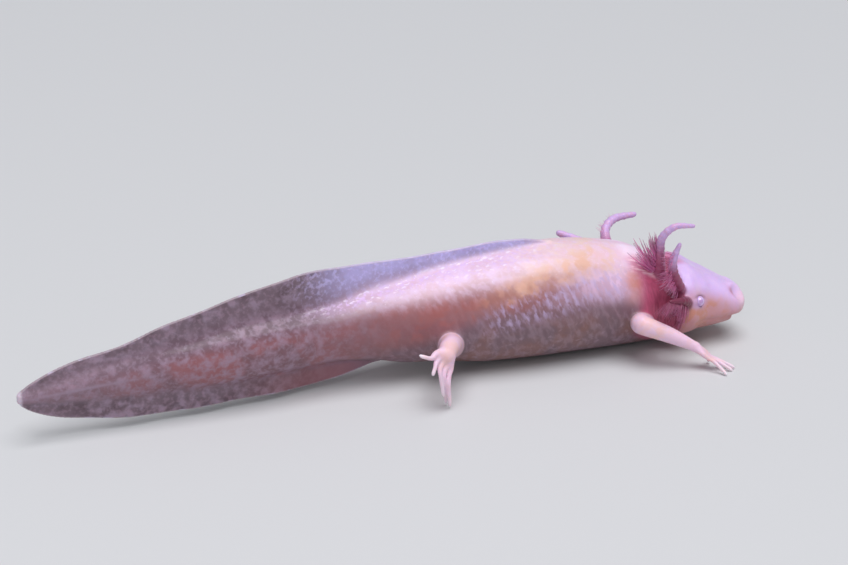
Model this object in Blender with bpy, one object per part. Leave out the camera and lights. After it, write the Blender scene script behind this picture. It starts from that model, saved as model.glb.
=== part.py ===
# A life-size axolotl as a still model, walking on a flat floor with its head turned
# a little to its right. Lengths are millimetres until centre_on_floor() scales them to metres.
# While modelling, +X is forwards, +Y is the animal's left, z = 0 is the floor and
# x = 0 lies between the shoulders. centre_on_floor() also moves all of it.

import math

import bmesh
import bpy
import numpy as np
from mathutils import Vector

MM = 0.001
GAP = 0.3  # between neighbouring solids
BODY_SIDES = 22
RING_STEP, HEAD_STEP = 4.5, 2.6  # between cross-sections of the body and of the head
FIN_STEP = 5.0
FLOOR_BAND = 0.35  # toe and sole points lower than this are pressed flat on the floor
TOE_OVERRUN = 0.8  # an upright toe is drawn this far past its tip, as the rounding shortens it
SHARP_ANGLE = 50  # degrees, where shading breaks

# The flesh of the body, tail tip to snout. Each station holds x and y of the midline,
# the height of the widest line, the half-width, the top and the bottom.
BODY = {
    "tail tip": (-176.5, 0.7, 13.1, 0.7, 13.9, 12.3),
    "tail end": (-163.0, 0.2, 14.2, 2.1, 17.2, 11.2),
    "tail middle": (-142.0, -0.5, 15.6, 3.6, 20.6, 10.4),
    "tail quarter": (-118.0, 0.0, 16.8, 5.4, 24.2, 9.0),
    "tail front": (-93.0, 2.6, 17.2, 7.6, 25.4, 8.9),
    "tail root": (-80.0, 2.9, 17.8, 9.2, 28.2, 7.2),
    "vent": (-70.0, 2.9, 17.7, 10.9, 30.0, 4.9),
    "hips": (-60.0, 2.6, 17.8, 12.4, 32.0, 4.0),
    "loins": (-45.0, 2.0, 18.0, 14.4, 34.2, 1.8),
    "belly": (-22.0, 1.1, 18.2, 15.8, 35.8, 1.0),
    "shoulders": (0.0, -0.4, 16.8, 15.0, 33.2, 0.9),
    "nape": (9.0, -0.6, 14.8, 14.6, 29.5, 1.0),
    "gill roots": (15.0, -1.1, 14.0, 15.8, 25.6, 1.4),
    "jaw angle": (20.5, -2.0, 13.8, 16.2, 25.6, 3.1),
    "eyes": (26.0, -3.5, 13.4, 13.6, 23.5, 3.9),
    "cheeks": (31.0, -5.2, 12.7, 11.6, 20.9, 4.6),
    "nostrils": (36.0, -7.0, 12.0, 9.0, 18.0, 5.6),
}
SNOUT_TIP = (41.6, -9.2, 11.8)
SNOUT_SLOPE = 1.35  # over 1 makes the snout fall away faster in height than in width
JAW_END = 38.0  # the lower jaw ends behind the snout
BODY_CORNER, HEAD_CORNER = 0.92, 0.84  # powers of a cross-section, fuller corners under 1
SNOUT_ANGLES = (22, 42, 58, 71, 81, 87.5)  # cross-sections round the tip, in degrees
MOUTH = {"front": (38.0, 9.1), "back": (20.0, 9.8)}  # x and z of the closed lips

# Where the body is parted into its named lengths
TAIL_CUTS = (-110.0, -145.0)
TRUNK_START, NECK_START, HEAD_START = -76.0, 4.0, 20.5

# The edges of the fins above and below the flesh: x and z
CREST = (
    (-180.8, 13.9), (-177.6, 16.5), (-170.0, 20.1), (-154.0, 23.9), (-140.5, 28.1),
    (-125.0, 32.0), (-109.0, 35.3), (-92.0, 36.7), (-77.0, 36.6), (-57.0, 37.1),
    (-43.0, 38.2), (-32.0, 37.9), (-23.0, 36.1),
)
KEEL = (
    (-180.8, 12.1), (-178.0, 9.5), (-172.7, 7.0), (-167.0, 5.3), (-157.0, 3.6),
    (-148.0, 2.8), (-134.0, 2.4), (-118.0, 2.4), (-101.0, 2.0), (-93.0, 2.8),
    (-84.0, 4.4), (-77.5, 6.0),
)
FIN_RIM, FIN_ROOT = 0.32, 1.1  # half thicknesses

# Legs from inside the body to the wrist or ankle: x, y, z and radius
LEGS = {
    "foreleg_right": ((6.0, -7.5, 9.5, 3.8), (2.0, -14.0, 11.4, 3.3), (-2.0, -19.8, 13.4, 3.0),
                      (5.0, -23.8, 10.5, 2.4), (12.2, -27.0, 6.8, 1.5)),
    "foreleg_left": ((-4.0, 8.0, 12.0, 4.4), (-6.0, 15.0, 13.4, 3.7), (-9.5, 21.0, 13.4, 3.1),
                     (-15.5, 23.6, 9.6, 2.4), (-22.0, 25.0, 4.6, 1.5)),
    "hindleg_right": ((-58.0, -4.5, 10.8, 4.4), (-60.4, -10.5, 13.0, 3.7), (-62.9, -16.2, 15.3, 3.0),
                      (-65.0, -19.2, 15.8, 2.8), (-67.0, -22.0, 15.4, 2.6)),
    "hindleg_left": ((-57.5, 8.0, 12.0, 5.4), (-61.0, 16.0, 14.6, 4.3), (-66.5, 22.6, 13.6, 3.4),
                     (-73.0, 25.0, 8.8, 2.7), (-79.4, 26.0, 4.2, 1.8)),
}
KNEE_AT = 2  # the path point of the elbow or knee
LEG_RINGS, LEG_SIDES = 5, 12
KNOB_SHARES = (0.94, 0.62)  # rings of a round elbow or knee, shares of its radius behind its middle

# Hands and feet: the back's way up, the middle of the knuckles, the width and thickness
# there, the thickness of a toe, and the toe tips from the inner toe to the outer one
FEET = {
    "hand_right": {"up": (0.35, -0.25, 0.9), "knuckles": (16.0, -29.2, 3.7), "width": 4.6,
                   "thickness": 1.5, "toe": 1.25,
                   "tips": ((18.3, -25.4, 0.0), (23.0, -33.0, 0.0), (21.2, -34.4, 0.0), (17.6, -36.6, 0.0))},
    "hand_left": {"up": (-0.3, 0.0, 1.0), "knuckles": (-26.6, 24.9, 1.4), "width": 4.8,
                  "thickness": 1.5, "toe": 1.25,
                  "tips": ((-32.0, 18.6, 0.0), (-36.6, 22.2, 0.0), (-37.0, 26.6, 0.0), (-32.6, 31.0, 0.0))},
    "foot_right": {"up": (0.4, -0.84, 0.35), "knuckles": (-70.0, -24.4, 13.0), "width": 9.6,
                   "thickness": 1.8, "toe": 1.3,
                   "tips": ((-76.3, -24.2, 17.8), (-73.0, -26.0, 11.6), (-69.2, -25.4, 4.4),
                            (-66.8, -21.8, 0.0), (-66.7, -24.1, 0.0))},
    "foot_left": {"up": (-0.2, 0.0, 1.0), "knuckles": (-84.4, 26.0, 1.5), "width": 6.4,
                  "thickness": 1.8, "toe": 1.3,
                  "tips": ((-87.0, 17.4, 0.0), (-92.8, 21.2, 0.0), (-95.6, 25.8, 0.0),
                           (-94.0, 30.6, 0.0), (-87.6, 34.2, 0.0))},
}

PALM_ROWS = ((0.0, 0.0), (0.5, 0.72), (1.0, 1.0))  # shares along the palm and of its widening
PALM_BOW = 0.9  # how far the outer knuckles stand back
WRIST_FLATNESS = 0.9
TOE_STEPS = ((0.45, 0.98), (0.9, 0.76), (1.0, 0.45))  # shares along a toe and of its thickness
TOE_ARCH = 0.08  # share of a toe's reach

# Gill stalks from inside the neck to the tip: x, y, z and radius. Filaments leave a
# stalk between the two shares of its length, towards the lean of its gill.
GILLS = {
    "gill_right_1": {"path": ((9.5, -9.0, 20.5, 2.2), (7.6, -12.6, 27.5, 1.7), (5.1, -16.0, 34.8, 1.3),
                              (4.0, -18.6, 39.8, 1.2), (6.6, -21.0, 43.4, 1.0), (12.2, -22.0, 43.2, 0.6)),
                     "lean": (-0.7, 0.1, 0.7), "length": 10.5, "filaments": (0.2, 0.56)},
    "gill_right_2": {"path": ((15.2, -10.5, 17.0, 2.2), (12.8, -15.8, 21.6, 1.7), (9.2, -17.8, 27.4, 1.4),
                              (7.8, -19.2, 32.2, 1.2), (8.9, -20.4, 37.4, 0.6)),
                     "lean": (-0.9, -0.2, -0.1), "length": 6.0, "filaments": (0.35, 0.8)},
    "gill_right_3": {"path": ((15.0, -11.5, 14.0, 2.4), (14.6, -17.4, 17.0, 1.9), (10.8, -21.0, 19.4, 1.4),
                              (5.4, -22.6, 20.6, 0.7)),
                     "lean": (-0.55, 0.0, -0.83), "length": 6.0, "filaments": (0.35, 0.9)},
    "gill_left_1": {"path": ((8.0, 7.0, 20.5, 2.2), (4.6, 12.6, 27.5, 1.7), (5.6, 16.6, 31.4, 1.4),
                             (10.6, 19.6, 33.6, 1.3), (18.1, 20.0, 34.0, 0.9)),
                    "lean": (-0.85, 0.1, 0.5), "length": 4.0, "filaments": (0.35, 0.8)},
    "gill_left_2": {"path": ((9.0, 8.5, 18.0, 2.2), (4.4, 14.6, 23.4, 1.6), (-1.5, 18.8, 27.6, 1.3),
                             (-7.2, 23.6, 29.8, 1.1)),
                    "lean": (-0.75, -0.1, -0.65), "length": 4.5, "filaments": (0.35, 0.8)},
    "gill_left_3": {"path": ((12.0, 10.0, 13.5, 2.4), (9.4, 16.6, 14.8, 1.8), (4.0, 20.2, 16.8, 1.3),
                             (-2.0, 22.2, 19.0, 0.6)),
                    "lean": (-0.75, 0.0, -0.65), "length": 5.5, "filaments": (0.35, 0.9)},
}
GILL_RINGS, GILL_SIDES = 11, 6
FILAMENT_STEPS = ((0.3, 0.68), (1.0, 0.36))  # share of the length, and the radius there
FILAMENT_SPREAD, FILAMENT_SWEEP = 0.4, 0.9  # how far they fan out and lean to the stalk's tip

EYE = {"x": 23.8, "angle": 12.0, "radius": 1.7, "depth": 0.75}

# Colour, roughness and metallic value of each flesh
FINISHES = {
    "skin": ((0.86, 0.62, 0.66), 0.32, 0.0),
    "face": ((0.87, 0.64, 0.68), 0.3, 0.0),
    "tail": ((0.66, 0.42, 0.46), 0.34, 0.0),
    "fin": ((0.62, 0.54, 0.62), 0.3, 0.0),
    "leg": ((0.9, 0.68, 0.66), 0.34, 0.0),
    "gill": ((0.47, 0.1, 0.17), 0.38, 0.0),
    "eye": ((0.88, 0.6, 0.72), 0.12, 0.0),
}


def smooth_table(points):
    """A curve through the points that never overshoots them, as a function of the first column."""
    xs, ys = (np.array(column, float) for column in zip(*points))
    if xs[0] > xs[-1]:
        xs, ys = xs[::-1], ys[::-1]
    steps = np.diff(xs)
    slopes = np.diff(ys) / steps
    tangents = np.zeros(len(xs))
    tangents[0], tangents[-1] = slopes[0], slopes[-1]
    for i in range(1, len(xs) - 1):
        if slopes[i - 1] * slopes[i] > 0:
            before, after = 2 * steps[i] + steps[i - 1], steps[i] + 2 * steps[i - 1]
            tangents[i] = (before + after) / (before / slopes[i - 1] + after / slopes[i])

    def at(x):
        x = min(max(x, xs[0]), xs[-1])
        i = min(int(np.searchsorted(xs, x, side="right")) - 1, len(xs) - 2)
        u = (x - xs[i]) / steps[i]
        near = ys[i] * (1 + 2 * u) * (1 - u) ** 2 + ys[i + 1] * u * u * (3 - 2 * u)
        return near + steps[i] * u * (1 - u) * (tangents[i] * (1 - u) - tangents[i + 1] * u)

    return at


STATIONS = list(BODY.values())
MIDLINE = smooth_table([(s[0], s[1]) for s in STATIONS] + [SNOUT_TIP[:2]])
WIDEST = smooth_table([(s[0], s[2]) for s in STATIONS] + [(SNOUT_TIP[0], SNOUT_TIP[2])])
HALF_WIDTH = smooth_table([(s[0], s[3]) for s in STATIONS])
TOP = smooth_table([(s[0], s[4]) for s in STATIONS])
BOTTOM = smooth_table([(s[0], s[5]) for s in STATIONS])
CREST_AT = smooth_table(CREST)
KEEL_AT = smooth_table(KEEL)


def heading(x):
    """The unit vectors forwards and to the left of the midline at x."""
    slope = (MIDLINE(x + 1.5) - MIDLINE(x - 1.5)) / 3
    if x > SNOUT_TIP[0] - 3:
        slope = (MIDLINE(SNOUT_TIP[0]) - MIDLINE(SNOUT_TIP[0] - 4)) / 4
    forwards = Vector((1, slope, 0)).normalized()
    return forwards, Vector((-forwards.y, forwards.x, 0))


def rounding(x, tip):
    """1 behind the last station, falling to 0 as a quarter ellipse at the tip."""
    start = STATIONS[-1][0]
    if x <= start:
        return 1.0
    return math.sqrt(max(0.0, 1 - ((x - start) / (tip - start)) ** 2))


def body_point(x, angle, grow=0.0, tip=SNOUT_TIP[0]):
    """The point of the skin at x, angle 0 to the left and 90 degrees up."""
    _, left = heading(x)
    shrink = rounding(x, tip)
    cos, sin = math.cos(angle), math.sin(angle)
    corner = BODY_CORNER if x < NECK_START + 10 else HEAD_CORNER
    wide = math.copysign(abs(cos) ** corner, cos)
    high = math.copysign(abs(sin) ** corner, sin)
    middle = WIDEST(x)
    tall = (TOP(x) - middle if sin > 0 else middle - BOTTOM(x)) * shrink**SNOUT_SLOPE
    centre = Vector((x, MIDLINE(x), middle))
    return centre + left * wide * (HALF_WIDTH(x) * shrink + grow) + Vector((0, 0, high * (tall + grow)))


def body_ring(x, grow=0.0, tip=SNOUT_TIP[0]):
    return [body_point(x, 2 * math.pi * k / BODY_SIDES, grow, tip) for k in range(BODY_SIDES)]


def between(start, end, step=RING_STEP):
    """Even places from start to end, both included."""
    count = max(1, round(abs(end - start) / step))
    return [start + (end - start) * i / count for i in range(count + 1)]


def snout_places(start, tip):
    """Places that crowd towards a rounded tip."""
    return [start + (tip - start) * math.sin(math.radians(a)) for a in SNOUT_ANGLES]


def material(kind):
    found = bpy.data.materials.get(kind)
    if found:
        return found
    colour, roughness, metallic = FINISHES[kind]
    made = bpy.data.materials.new(kind)
    made.use_nodes = True
    made.diffuse_color = (*colour, 1)
    shader = made.node_tree.nodes["Principled BSDF"]
    shader.inputs["Base Color"].default_value = (*colour, 1)
    shader.inputs["Roughness"].default_value = roughness
    shader.inputs["Metallic"].default_value = metallic
    return made


def new_object(name, bm, kind):
    """Puts the shape in the scene as a node with its own material."""
    bmesh.ops.recalc_face_normals(bm, faces=bm.faces)
    mesh = bpy.data.meshes.new(name)
    bm.to_mesh(mesh)
    bm.free()
    mesh.shade_smooth()
    mesh.set_sharp_from_angle(angle=math.radians(SHARP_ANGLE))
    mesh.materials.append(material(kind))
    obj = bpy.data.objects.new(name, mesh)
    bpy.context.scene.collection.objects.link(obj)
    return obj


def bridged(rings):
    """A closed shape through rings of equally many points, with flat ends."""
    bm = bmesh.new()
    rows = [[bm.verts.new(point) for point in ring] for ring in rings]
    for row, following in zip(rows, rows[1:]):
        for k in range(len(row)):
            n = (k + 1) % len(row)
            bm.faces.new((row[k], row[n], following[n], following[k]))
    bm.faces.new(rows[0])
    bm.faces.new(rows[-1])
    return bm


def body_length(name, start, end, kind):
    """One length of the body between two cuts, half a gap short at each."""
    places = between(start + GAP / 2, end - GAP / 2)
    return new_object(name, bridged([body_ring(x) for x in places]), kind)


def head_rings(tip):
    last = STATIONS[-1][0]
    places = between(HEAD_START + GAP / 2, last, HEAD_STEP) + snout_places(last, tip)
    return [body_ring(x, tip=tip) for x in places]


def cut_at_mouth(bm, keep_above):
    """Parts a head shape along the lips and keeps one side."""
    (front_x, front_z), (back_x, back_z) = MOUTH["front"], MOUTH["back"]
    normal = Vector((back_z - front_z, 0, front_x - back_x)).normalized()
    if normal.z < 0:
        normal = -normal
    lift = GAP / 2 if keep_above else -GAP / 2
    made = bmesh.ops.bisect_plane(
        bm, geom=bm.verts[:] + bm.edges[:] + bm.faces[:], dist=1e-5,
        plane_co=Vector((front_x, 0, front_z)) + normal * lift, plane_no=normal,
        clear_inner=keep_above, clear_outer=not keep_above,
    )
    rim = [part for part in made["geom_cut"] if isinstance(part, bmesh.types.BMEdge)]
    bmesh.ops.contextual_create(bm, geom=rim)
    return bm


def eye_centre(side):
    """Just under the skin of the cheek. side is 1 on the left and -1 on the right."""
    angle = math.radians(EYE["angle"] if side > 0 else 180 - EYE["angle"])
    here = body_point(EYE["x"], angle)
    inwards = (Vector((EYE["x"], MIDLINE(EYE["x"]), WIDEST(EYE["x"]))) - here).normalized()
    return here + inwards * EYE["depth"]


def ball(centre, radius, divisions=2):
    bm = bmesh.new()
    bmesh.ops.create_icosphere(bm, subdivisions=divisions, radius=radius)
    bmesh.ops.translate(bm, verts=bm.verts, vec=centre)
    return bm


def subtract(obj, bm, name):
    """Cuts a hidden shape out of an object."""
    cutter = new_object(name, bm, "skin")
    cutter.hide_render = True
    cutter.display_type = "WIRE"
    return subtract_object(obj, cutter)


def subtract_object(obj, cutter):
    cut = obj.modifiers.new(cutter.name, "BOOLEAN")
    cut.operation = "DIFFERENCE"
    cut.solver = "EXACT"
    cut.object = cutter
    return obj


def fin_root(x, side):
    """The height of a fin's root line, side 1 above the flesh and -1 below it."""
    if x < STATIONS[0][0]:
        return WIDEST(x) + side * GAP / 2
    return TOP(x) + GAP if side > 0 else BOTTOM(x) - GAP


def fin(name, start, end, edge_at, side):
    """A thin plate standing on the flesh, from its root line out to its edge."""
    rings = []
    for x in between(start, end, FIN_STEP):
        _, left = heading(x)
        foot = Vector((x, MIDLINE(x), fin_root(x, side)))
        edge = Vector((x, MIDLINE(x), edge_at(x)))
        tall = abs(edge.z - foot.z)
        root = min(FIN_ROOT, 0.35 + 0.12 * tall)
        middle = foot.lerp(edge, 0.4)
        sides = ((foot, root), (middle, (root + FIN_RIM) / 2), (edge, FIN_RIM))
        rings.append([p + left * w for p, w in sides] + [p - left * w for p, w in reversed(sides)])
    return new_object(name, bridged(rings), "fin")


def along(path, t):
    """The point and radius at t on a smooth path, t counting its points from 0."""
    i = min(int(t), len(path) - 2)
    u = t - i
    rows = [np.array(path[min(max(i + k, 0), len(path) - 1)], float) for k in (-1, 0, 1, 2)]
    if i == 0:
        rows[0] = 2 * rows[1] - rows[2]
    if i == len(path) - 2:
        rows[3] = 2 * rows[2] - rows[1]
    a, b, c, d = rows
    here = 0.5 * (2 * b + (c - a) * u + (2 * a - 5 * b + 4 * c - d) * u * u + (3 * b - a - 3 * c + d) * u**3)
    return Vector(here[:3]), float(here[3])


def tube_rings(path, start, end, count, sides):
    """Round sections from start to end on the path, without twist."""
    rings = []
    side = None
    for k in range(count + 1):
        t = start + (end - start) * k / count
        here, radius = along(path, t)
        ahead, _ = along(path, min(t + 0.02, len(path) - 1))
        behind, _ = along(path, max(t - 0.02, 0))
        forwards = (ahead - behind).normalized()
        if side is None:
            side = forwards.cross(Vector((0, 0, 1))).normalized()
        side = (side - forwards * side.dot(forwards)).normalized()
        up = side.cross(forwards)
        rings.append([
            here + (side * math.cos(a) + up * math.sin(a)) * radius
            for a in (2 * math.pi * j / sides for j in range(sides))
        ])
    return rings


def knobbed(rings, grow=0.0):
    """Rings with a round end put before the first, each grown outwards from its middle."""
    middles = [sum(ring, Vector()) / len(ring) for ring in rings]
    radius = (rings[0][0] - middles[0]).length
    back = (middles[0] - middles[1]).normalized()
    sized = [[m + (p - m) * (1 + grow / (p - m).length) for p in ring] for m, ring in zip(middles, rings)]
    knob = []
    for share in KNOB_SHARES:
        move = back * (radius + grow) * share
        shrink = math.sqrt(1 - share * share)
        knob.append([middles[0] + (p - middles[0]) * shrink + move for p in sized[0]])
    return knob + sized


def leg(name, path, body_cutter):
    """Upper and lower leg. The lower one has a round elbow or knee, which the upper one makes room for."""
    shin = tube_rings(path[KNEE_AT:], 0, len(path) - 1 - KNEE_AT, LEG_RINGS, LEG_SIDES)
    new_object(f"{name}_lower", bridged(knobbed(shin)), "leg")
    thigh = tube_rings(path[:KNEE_AT + 1], 0, KNEE_AT, LEG_RINGS, LEG_SIDES)
    upper = new_object(f"{name}_upper", bridged(thigh), "leg")
    subtract(upper, bridged(knobbed(shin, GAP)), f"{name}_joint_room")
    subtract_object(upper, body_cutter)


def foot(name, path, sizes):
    """A palm with a row of toes drawn out of its front, rounded and pressed on the floor."""
    tips = [Vector(tip) for tip in sizes["tips"]]
    ankle, ankle_radius = along(path, len(path) - 1)
    arm = (ankle - along(path, len(path) - 1.05)[0]).normalized()
    start = ankle + arm * GAP
    palm = Vector(sizes["knuckles"]) - start
    forwards = palm.normalized()
    up = Vector(sizes["up"])
    up = (up - forwards * up.dot(forwards)).normalized()
    side = up.cross(forwards)
    if (tips[-1] - tips[0]).dot(side) < 0:
        side = -side
    arm_side = (side - arm * side.dot(arm)).normalized()
    arm_up = arm_side.cross(arm)
    if arm_up.dot(up) < 0:
        arm_up = -arm_up
    bm = bmesh.new()
    rows = []
    wrist_width = 2 * ankle_radius
    wrist_thick = wrist_width * WRIST_FLATNESS
    for share, spread in PALM_ROWS:
        width = wrist_width + (sizes["width"] - wrist_width) * spread
        thick = wrist_thick + (sizes["thickness"] - wrist_thick) * spread
        across, over = (arm_side, arm_up) if share == 0 else (side, up)
        row = []
        for j in range(len(tips) + 1):
            place = j / len(tips) - 0.5
            bow = palm.length * share * (1 - PALM_BOW * place * place * share)
            here = start + forwards * bow + across * width * place
            row.append([bm.verts.new(here + over * thick / 2), bm.verts.new(here - over * thick / 2)])
        rows.append(row)
    for near, far in zip(rows, rows[1:]):
        for layer in (0, 1):
            for j in range(len(tips)):
                bm.faces.new((near[j][layer], near[j + 1][layer], far[j + 1][layer], far[j][layer]))
        for j in (0, len(tips)):
            bm.faces.new((near[j][0], near[j][1], far[j][1], far[j][0]))
    crease = bm.edges.layers.float.new("crease_edge")
    for j in range(len(tips)):
        end = bm.faces.new((rows[0][j][0], rows[0][j + 1][0], rows[0][j + 1][1], rows[0][j][1]))
        for edge in end.edges:
            if edge.verts[0] in rows[0][j] and edge.verts[1] in rows[0][j] and 0 < j:
                continue
            if edge.verts[0] in rows[0][j + 1] and edge.verts[1] in rows[0][j + 1] and j + 1 < len(tips):
                continue
            edge[crease] = 1.0
    fronts = [
        bm.faces.new((rows[-1][j][0], rows[-1][j + 1][0], rows[-1][j + 1][1], rows[-1][j][1]))
        for j in range(len(tips))
    ]
    bmesh.ops.recalc_face_normals(bm, faces=bm.faces)
    for front, tip in zip(fronts, tips):
        draw_out(bm, front, tip, forwards, up, sizes["toe"])
    obj = new_object(name, bm, "leg")
    rounding_modifier = obj.modifiers.new("round", "SUBSURF")
    rounding_modifier.levels = rounding_modifier.render_levels = 1
    press_flat(obj)
    return obj


def draw_out(bm, face, tip, forwards, up, width):
    """Extrudes a toe from a face, tapering along a bent way to its tip."""
    root = face.calc_center_median()
    reach = (tip - root).length
    bend = root + (forwards * 0.35 + (tip - root).normalized() * 0.65) * reach * 0.5
    bend += up * TOE_ARCH * reach
    steep = abs((tip - bend).normalized().z)
    end = tip + Vector((0, 0, 0.3 * width * (1 - steep) - TOE_OVERRUN * steep))
    for u, scale in TOE_STEPS:
        here = root * (1 - u) ** 2 + bend * 2 * u * (1 - u) + end * u * u
        way = (bend - root) * (1 - u) + (end - bend) * u
        way.normalize()
        over = (up - way * up.dot(way)).normalized()
        across = over.cross(way)
        made = bmesh.ops.extrude_discrete_faces(bm, faces=[face])
        face = made["faces"][0]
        corners = list(face.verts)
        middle = face.calc_center_median()
        towards = [(v.co - middle) for v in corners]
        for v, offset in zip(corners, towards):
            right = 1 if offset.dot(across) > 0 else -1
            top = 1 if offset.dot(over) > 0 else -1
            v.co = here + (across * right + over * top) * width * scale / 2


def press_flat(obj):
    """Applies the rounding and lays what is lowest on the floor."""
    graph = bpy.context.evaluated_depsgraph_get()
    mesh = bpy.data.meshes.new_from_object(obj.evaluated_get(graph))
    for vertex in mesh.vertices:
        if vertex.co.z < FLOOR_BAND:
            vertex.co.z = 0.0
    obj.modifiers.clear()
    obj.data = mesh


def gill(name, sizes, body_cutter):
    """A bent stalk with two rows of filaments drawn out of its trailing sides."""
    path = sizes["path"]
    rings = tube_rings(path, 0, len(path) - 1, GILL_RINGS, GILL_SIDES)
    bm = bridged(rings)
    bmesh.ops.recalc_face_normals(bm, faces=bm.faces)
    bm.faces.ensure_lookup_table()
    lean = Vector(sizes["lean"]).normalized()
    sides = [face for face in bm.faces if len(face.verts) == 4]
    first, last = (round(share * GILL_RINGS) for share in sizes["filaments"])
    for k in range(first, last):
        ring_faces = sides[GILL_SIDES * k:GILL_SIDES * (k + 1)]
        ring_faces.sort(key=lambda face: -face.normal.dot(lean))
        share = (k - first) / (last - first)
        sweep = (along(path, len(path) * share * 0.6 + 1.2)[0] - along(path, 1)[0]).normalized()
        sweep *= FILAMENT_SWEEP
        for order, face in enumerate(ring_faces[:2]):
            away = (lean + face.normal * FILAMENT_SPREAD + sweep * share).normalized()
            draw_filament(bm, face, away, sizes["length"] * (1 - 0.5 * share) * (1 - 0.12 * order))
    obj = new_object(name, bm, "gill")
    subtract_object(obj, body_cutter)
    return obj


def draw_filament(bm, face, away, length):
    centre = face.calc_center_median()
    for reach, size in FILAMENT_STEPS:
        made = bmesh.ops.extrude_discrete_faces(bm, faces=[face])
        face = made["faces"][0]
        middle = face.calc_center_median()
        here = centre + away * length * reach
        for v in face.verts:
            offset = v.co - middle
            offset -= away * offset.dot(away)
            v.co = here + offset.normalized() * size


def centre_on_floor(objects):
    """Moves and scales every mesh so that the model stands on its own middle, in metres."""
    nodes = [obj for obj in objects if not obj.hide_render]
    points = np.array([v.co[:] for obj in nodes for v in obj.data.vertices])
    middle = (points.min(0) + points.max(0)) / 2
    for obj in objects:
        for vertex in obj.data.vertices:
            vertex.co = (vertex.co - Vector((middle[0], middle[1], 0))) * MM


def main():
    for obj in list(bpy.data.objects):
        bpy.data.objects.remove(obj, do_unlink=True)

    last = STATIONS[-1][0]
    places = between(STATIONS[0][0], HEAD_START) + between(HEAD_START, last, HEAD_STEP)[1:]
    body_cutter = new_object("body_cutter", bridged([body_ring(x, GAP) for x in places]), "skin")
    body_cutter.hide_render = True
    body_cutter.display_type = "WIRE"

    body_length("tail_tip", STATIONS[0][0] - GAP, TAIL_CUTS[1], "tail")
    body_length("tail_middle", TAIL_CUTS[1], TAIL_CUTS[0], "tail")
    body_length("tail_base", TAIL_CUTS[0], TRUNK_START, "tail")
    body_length("trunk", TRUNK_START, NECK_START, "skin")
    body_length("neck", NECK_START, HEAD_START, "skin")

    head = new_object("head", cut_at_mouth(bridged(head_rings(SNOUT_TIP[0])), True), "face")
    new_object("lower_jaw", cut_at_mouth(bridged(head_rings(JAW_END)), False), "face")
    for side, word in ((1, "left"), (-1, "right")):
        centre = eye_centre(side)
        subtract(head, ball(centre, EYE["radius"] + GAP), f"socket_{word}")
        new_object(f"eye_{word}", ball(centre, EYE["radius"]), "eye")

    fin("dorsal_fin", TRUNK_START + GAP / 2, CREST[-1][0], CREST_AT, 1)
    fin("tail_fin_upper", CREST[0][0], TRUNK_START - GAP / 2, CREST_AT, 1)
    fin("tail_fin_lower", KEEL[0][0], KEEL[-1][0], KEEL_AT, -1)

    for name, path in LEGS.items():
        leg(name, path, body_cutter)
    for (name, sizes), path in zip(FEET.items(), LEGS.values()):
        foot(name, path, sizes)
    for name, sizes in GILLS.items():
        gill(name, sizes, body_cutter)

    centre_on_floor([obj for obj in bpy.data.objects if obj.type == "MESH"])


main()
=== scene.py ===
import math
import re

import bmesh
import bpy
import numpy as np
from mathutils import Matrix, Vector


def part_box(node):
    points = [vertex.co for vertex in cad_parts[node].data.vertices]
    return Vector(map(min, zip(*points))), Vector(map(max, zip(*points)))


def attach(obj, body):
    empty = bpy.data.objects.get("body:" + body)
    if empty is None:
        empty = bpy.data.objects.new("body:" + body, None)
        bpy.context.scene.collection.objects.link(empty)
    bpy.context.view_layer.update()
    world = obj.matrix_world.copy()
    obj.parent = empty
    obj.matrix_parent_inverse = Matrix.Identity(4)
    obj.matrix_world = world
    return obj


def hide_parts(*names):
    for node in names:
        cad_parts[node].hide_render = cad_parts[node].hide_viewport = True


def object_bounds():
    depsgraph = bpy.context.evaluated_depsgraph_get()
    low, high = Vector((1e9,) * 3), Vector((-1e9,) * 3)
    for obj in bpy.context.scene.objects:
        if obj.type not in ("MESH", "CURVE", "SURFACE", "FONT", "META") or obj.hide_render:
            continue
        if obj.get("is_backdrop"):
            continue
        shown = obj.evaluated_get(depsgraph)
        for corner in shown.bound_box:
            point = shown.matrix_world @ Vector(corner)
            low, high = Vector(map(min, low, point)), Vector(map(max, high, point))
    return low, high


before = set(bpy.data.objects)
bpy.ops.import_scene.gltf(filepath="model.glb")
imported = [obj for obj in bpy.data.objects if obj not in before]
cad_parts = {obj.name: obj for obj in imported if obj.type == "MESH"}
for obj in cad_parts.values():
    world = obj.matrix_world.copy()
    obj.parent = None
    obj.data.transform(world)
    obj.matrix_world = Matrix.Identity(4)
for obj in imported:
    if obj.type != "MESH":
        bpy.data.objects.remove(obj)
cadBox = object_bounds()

# Lengths are millimetres from a point on the floor between the shoulders, +x forwards and
# +y to the animal's left. placed() moves them into the frame, in metres.
mm = 0.001

# the flesh of the body

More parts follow.
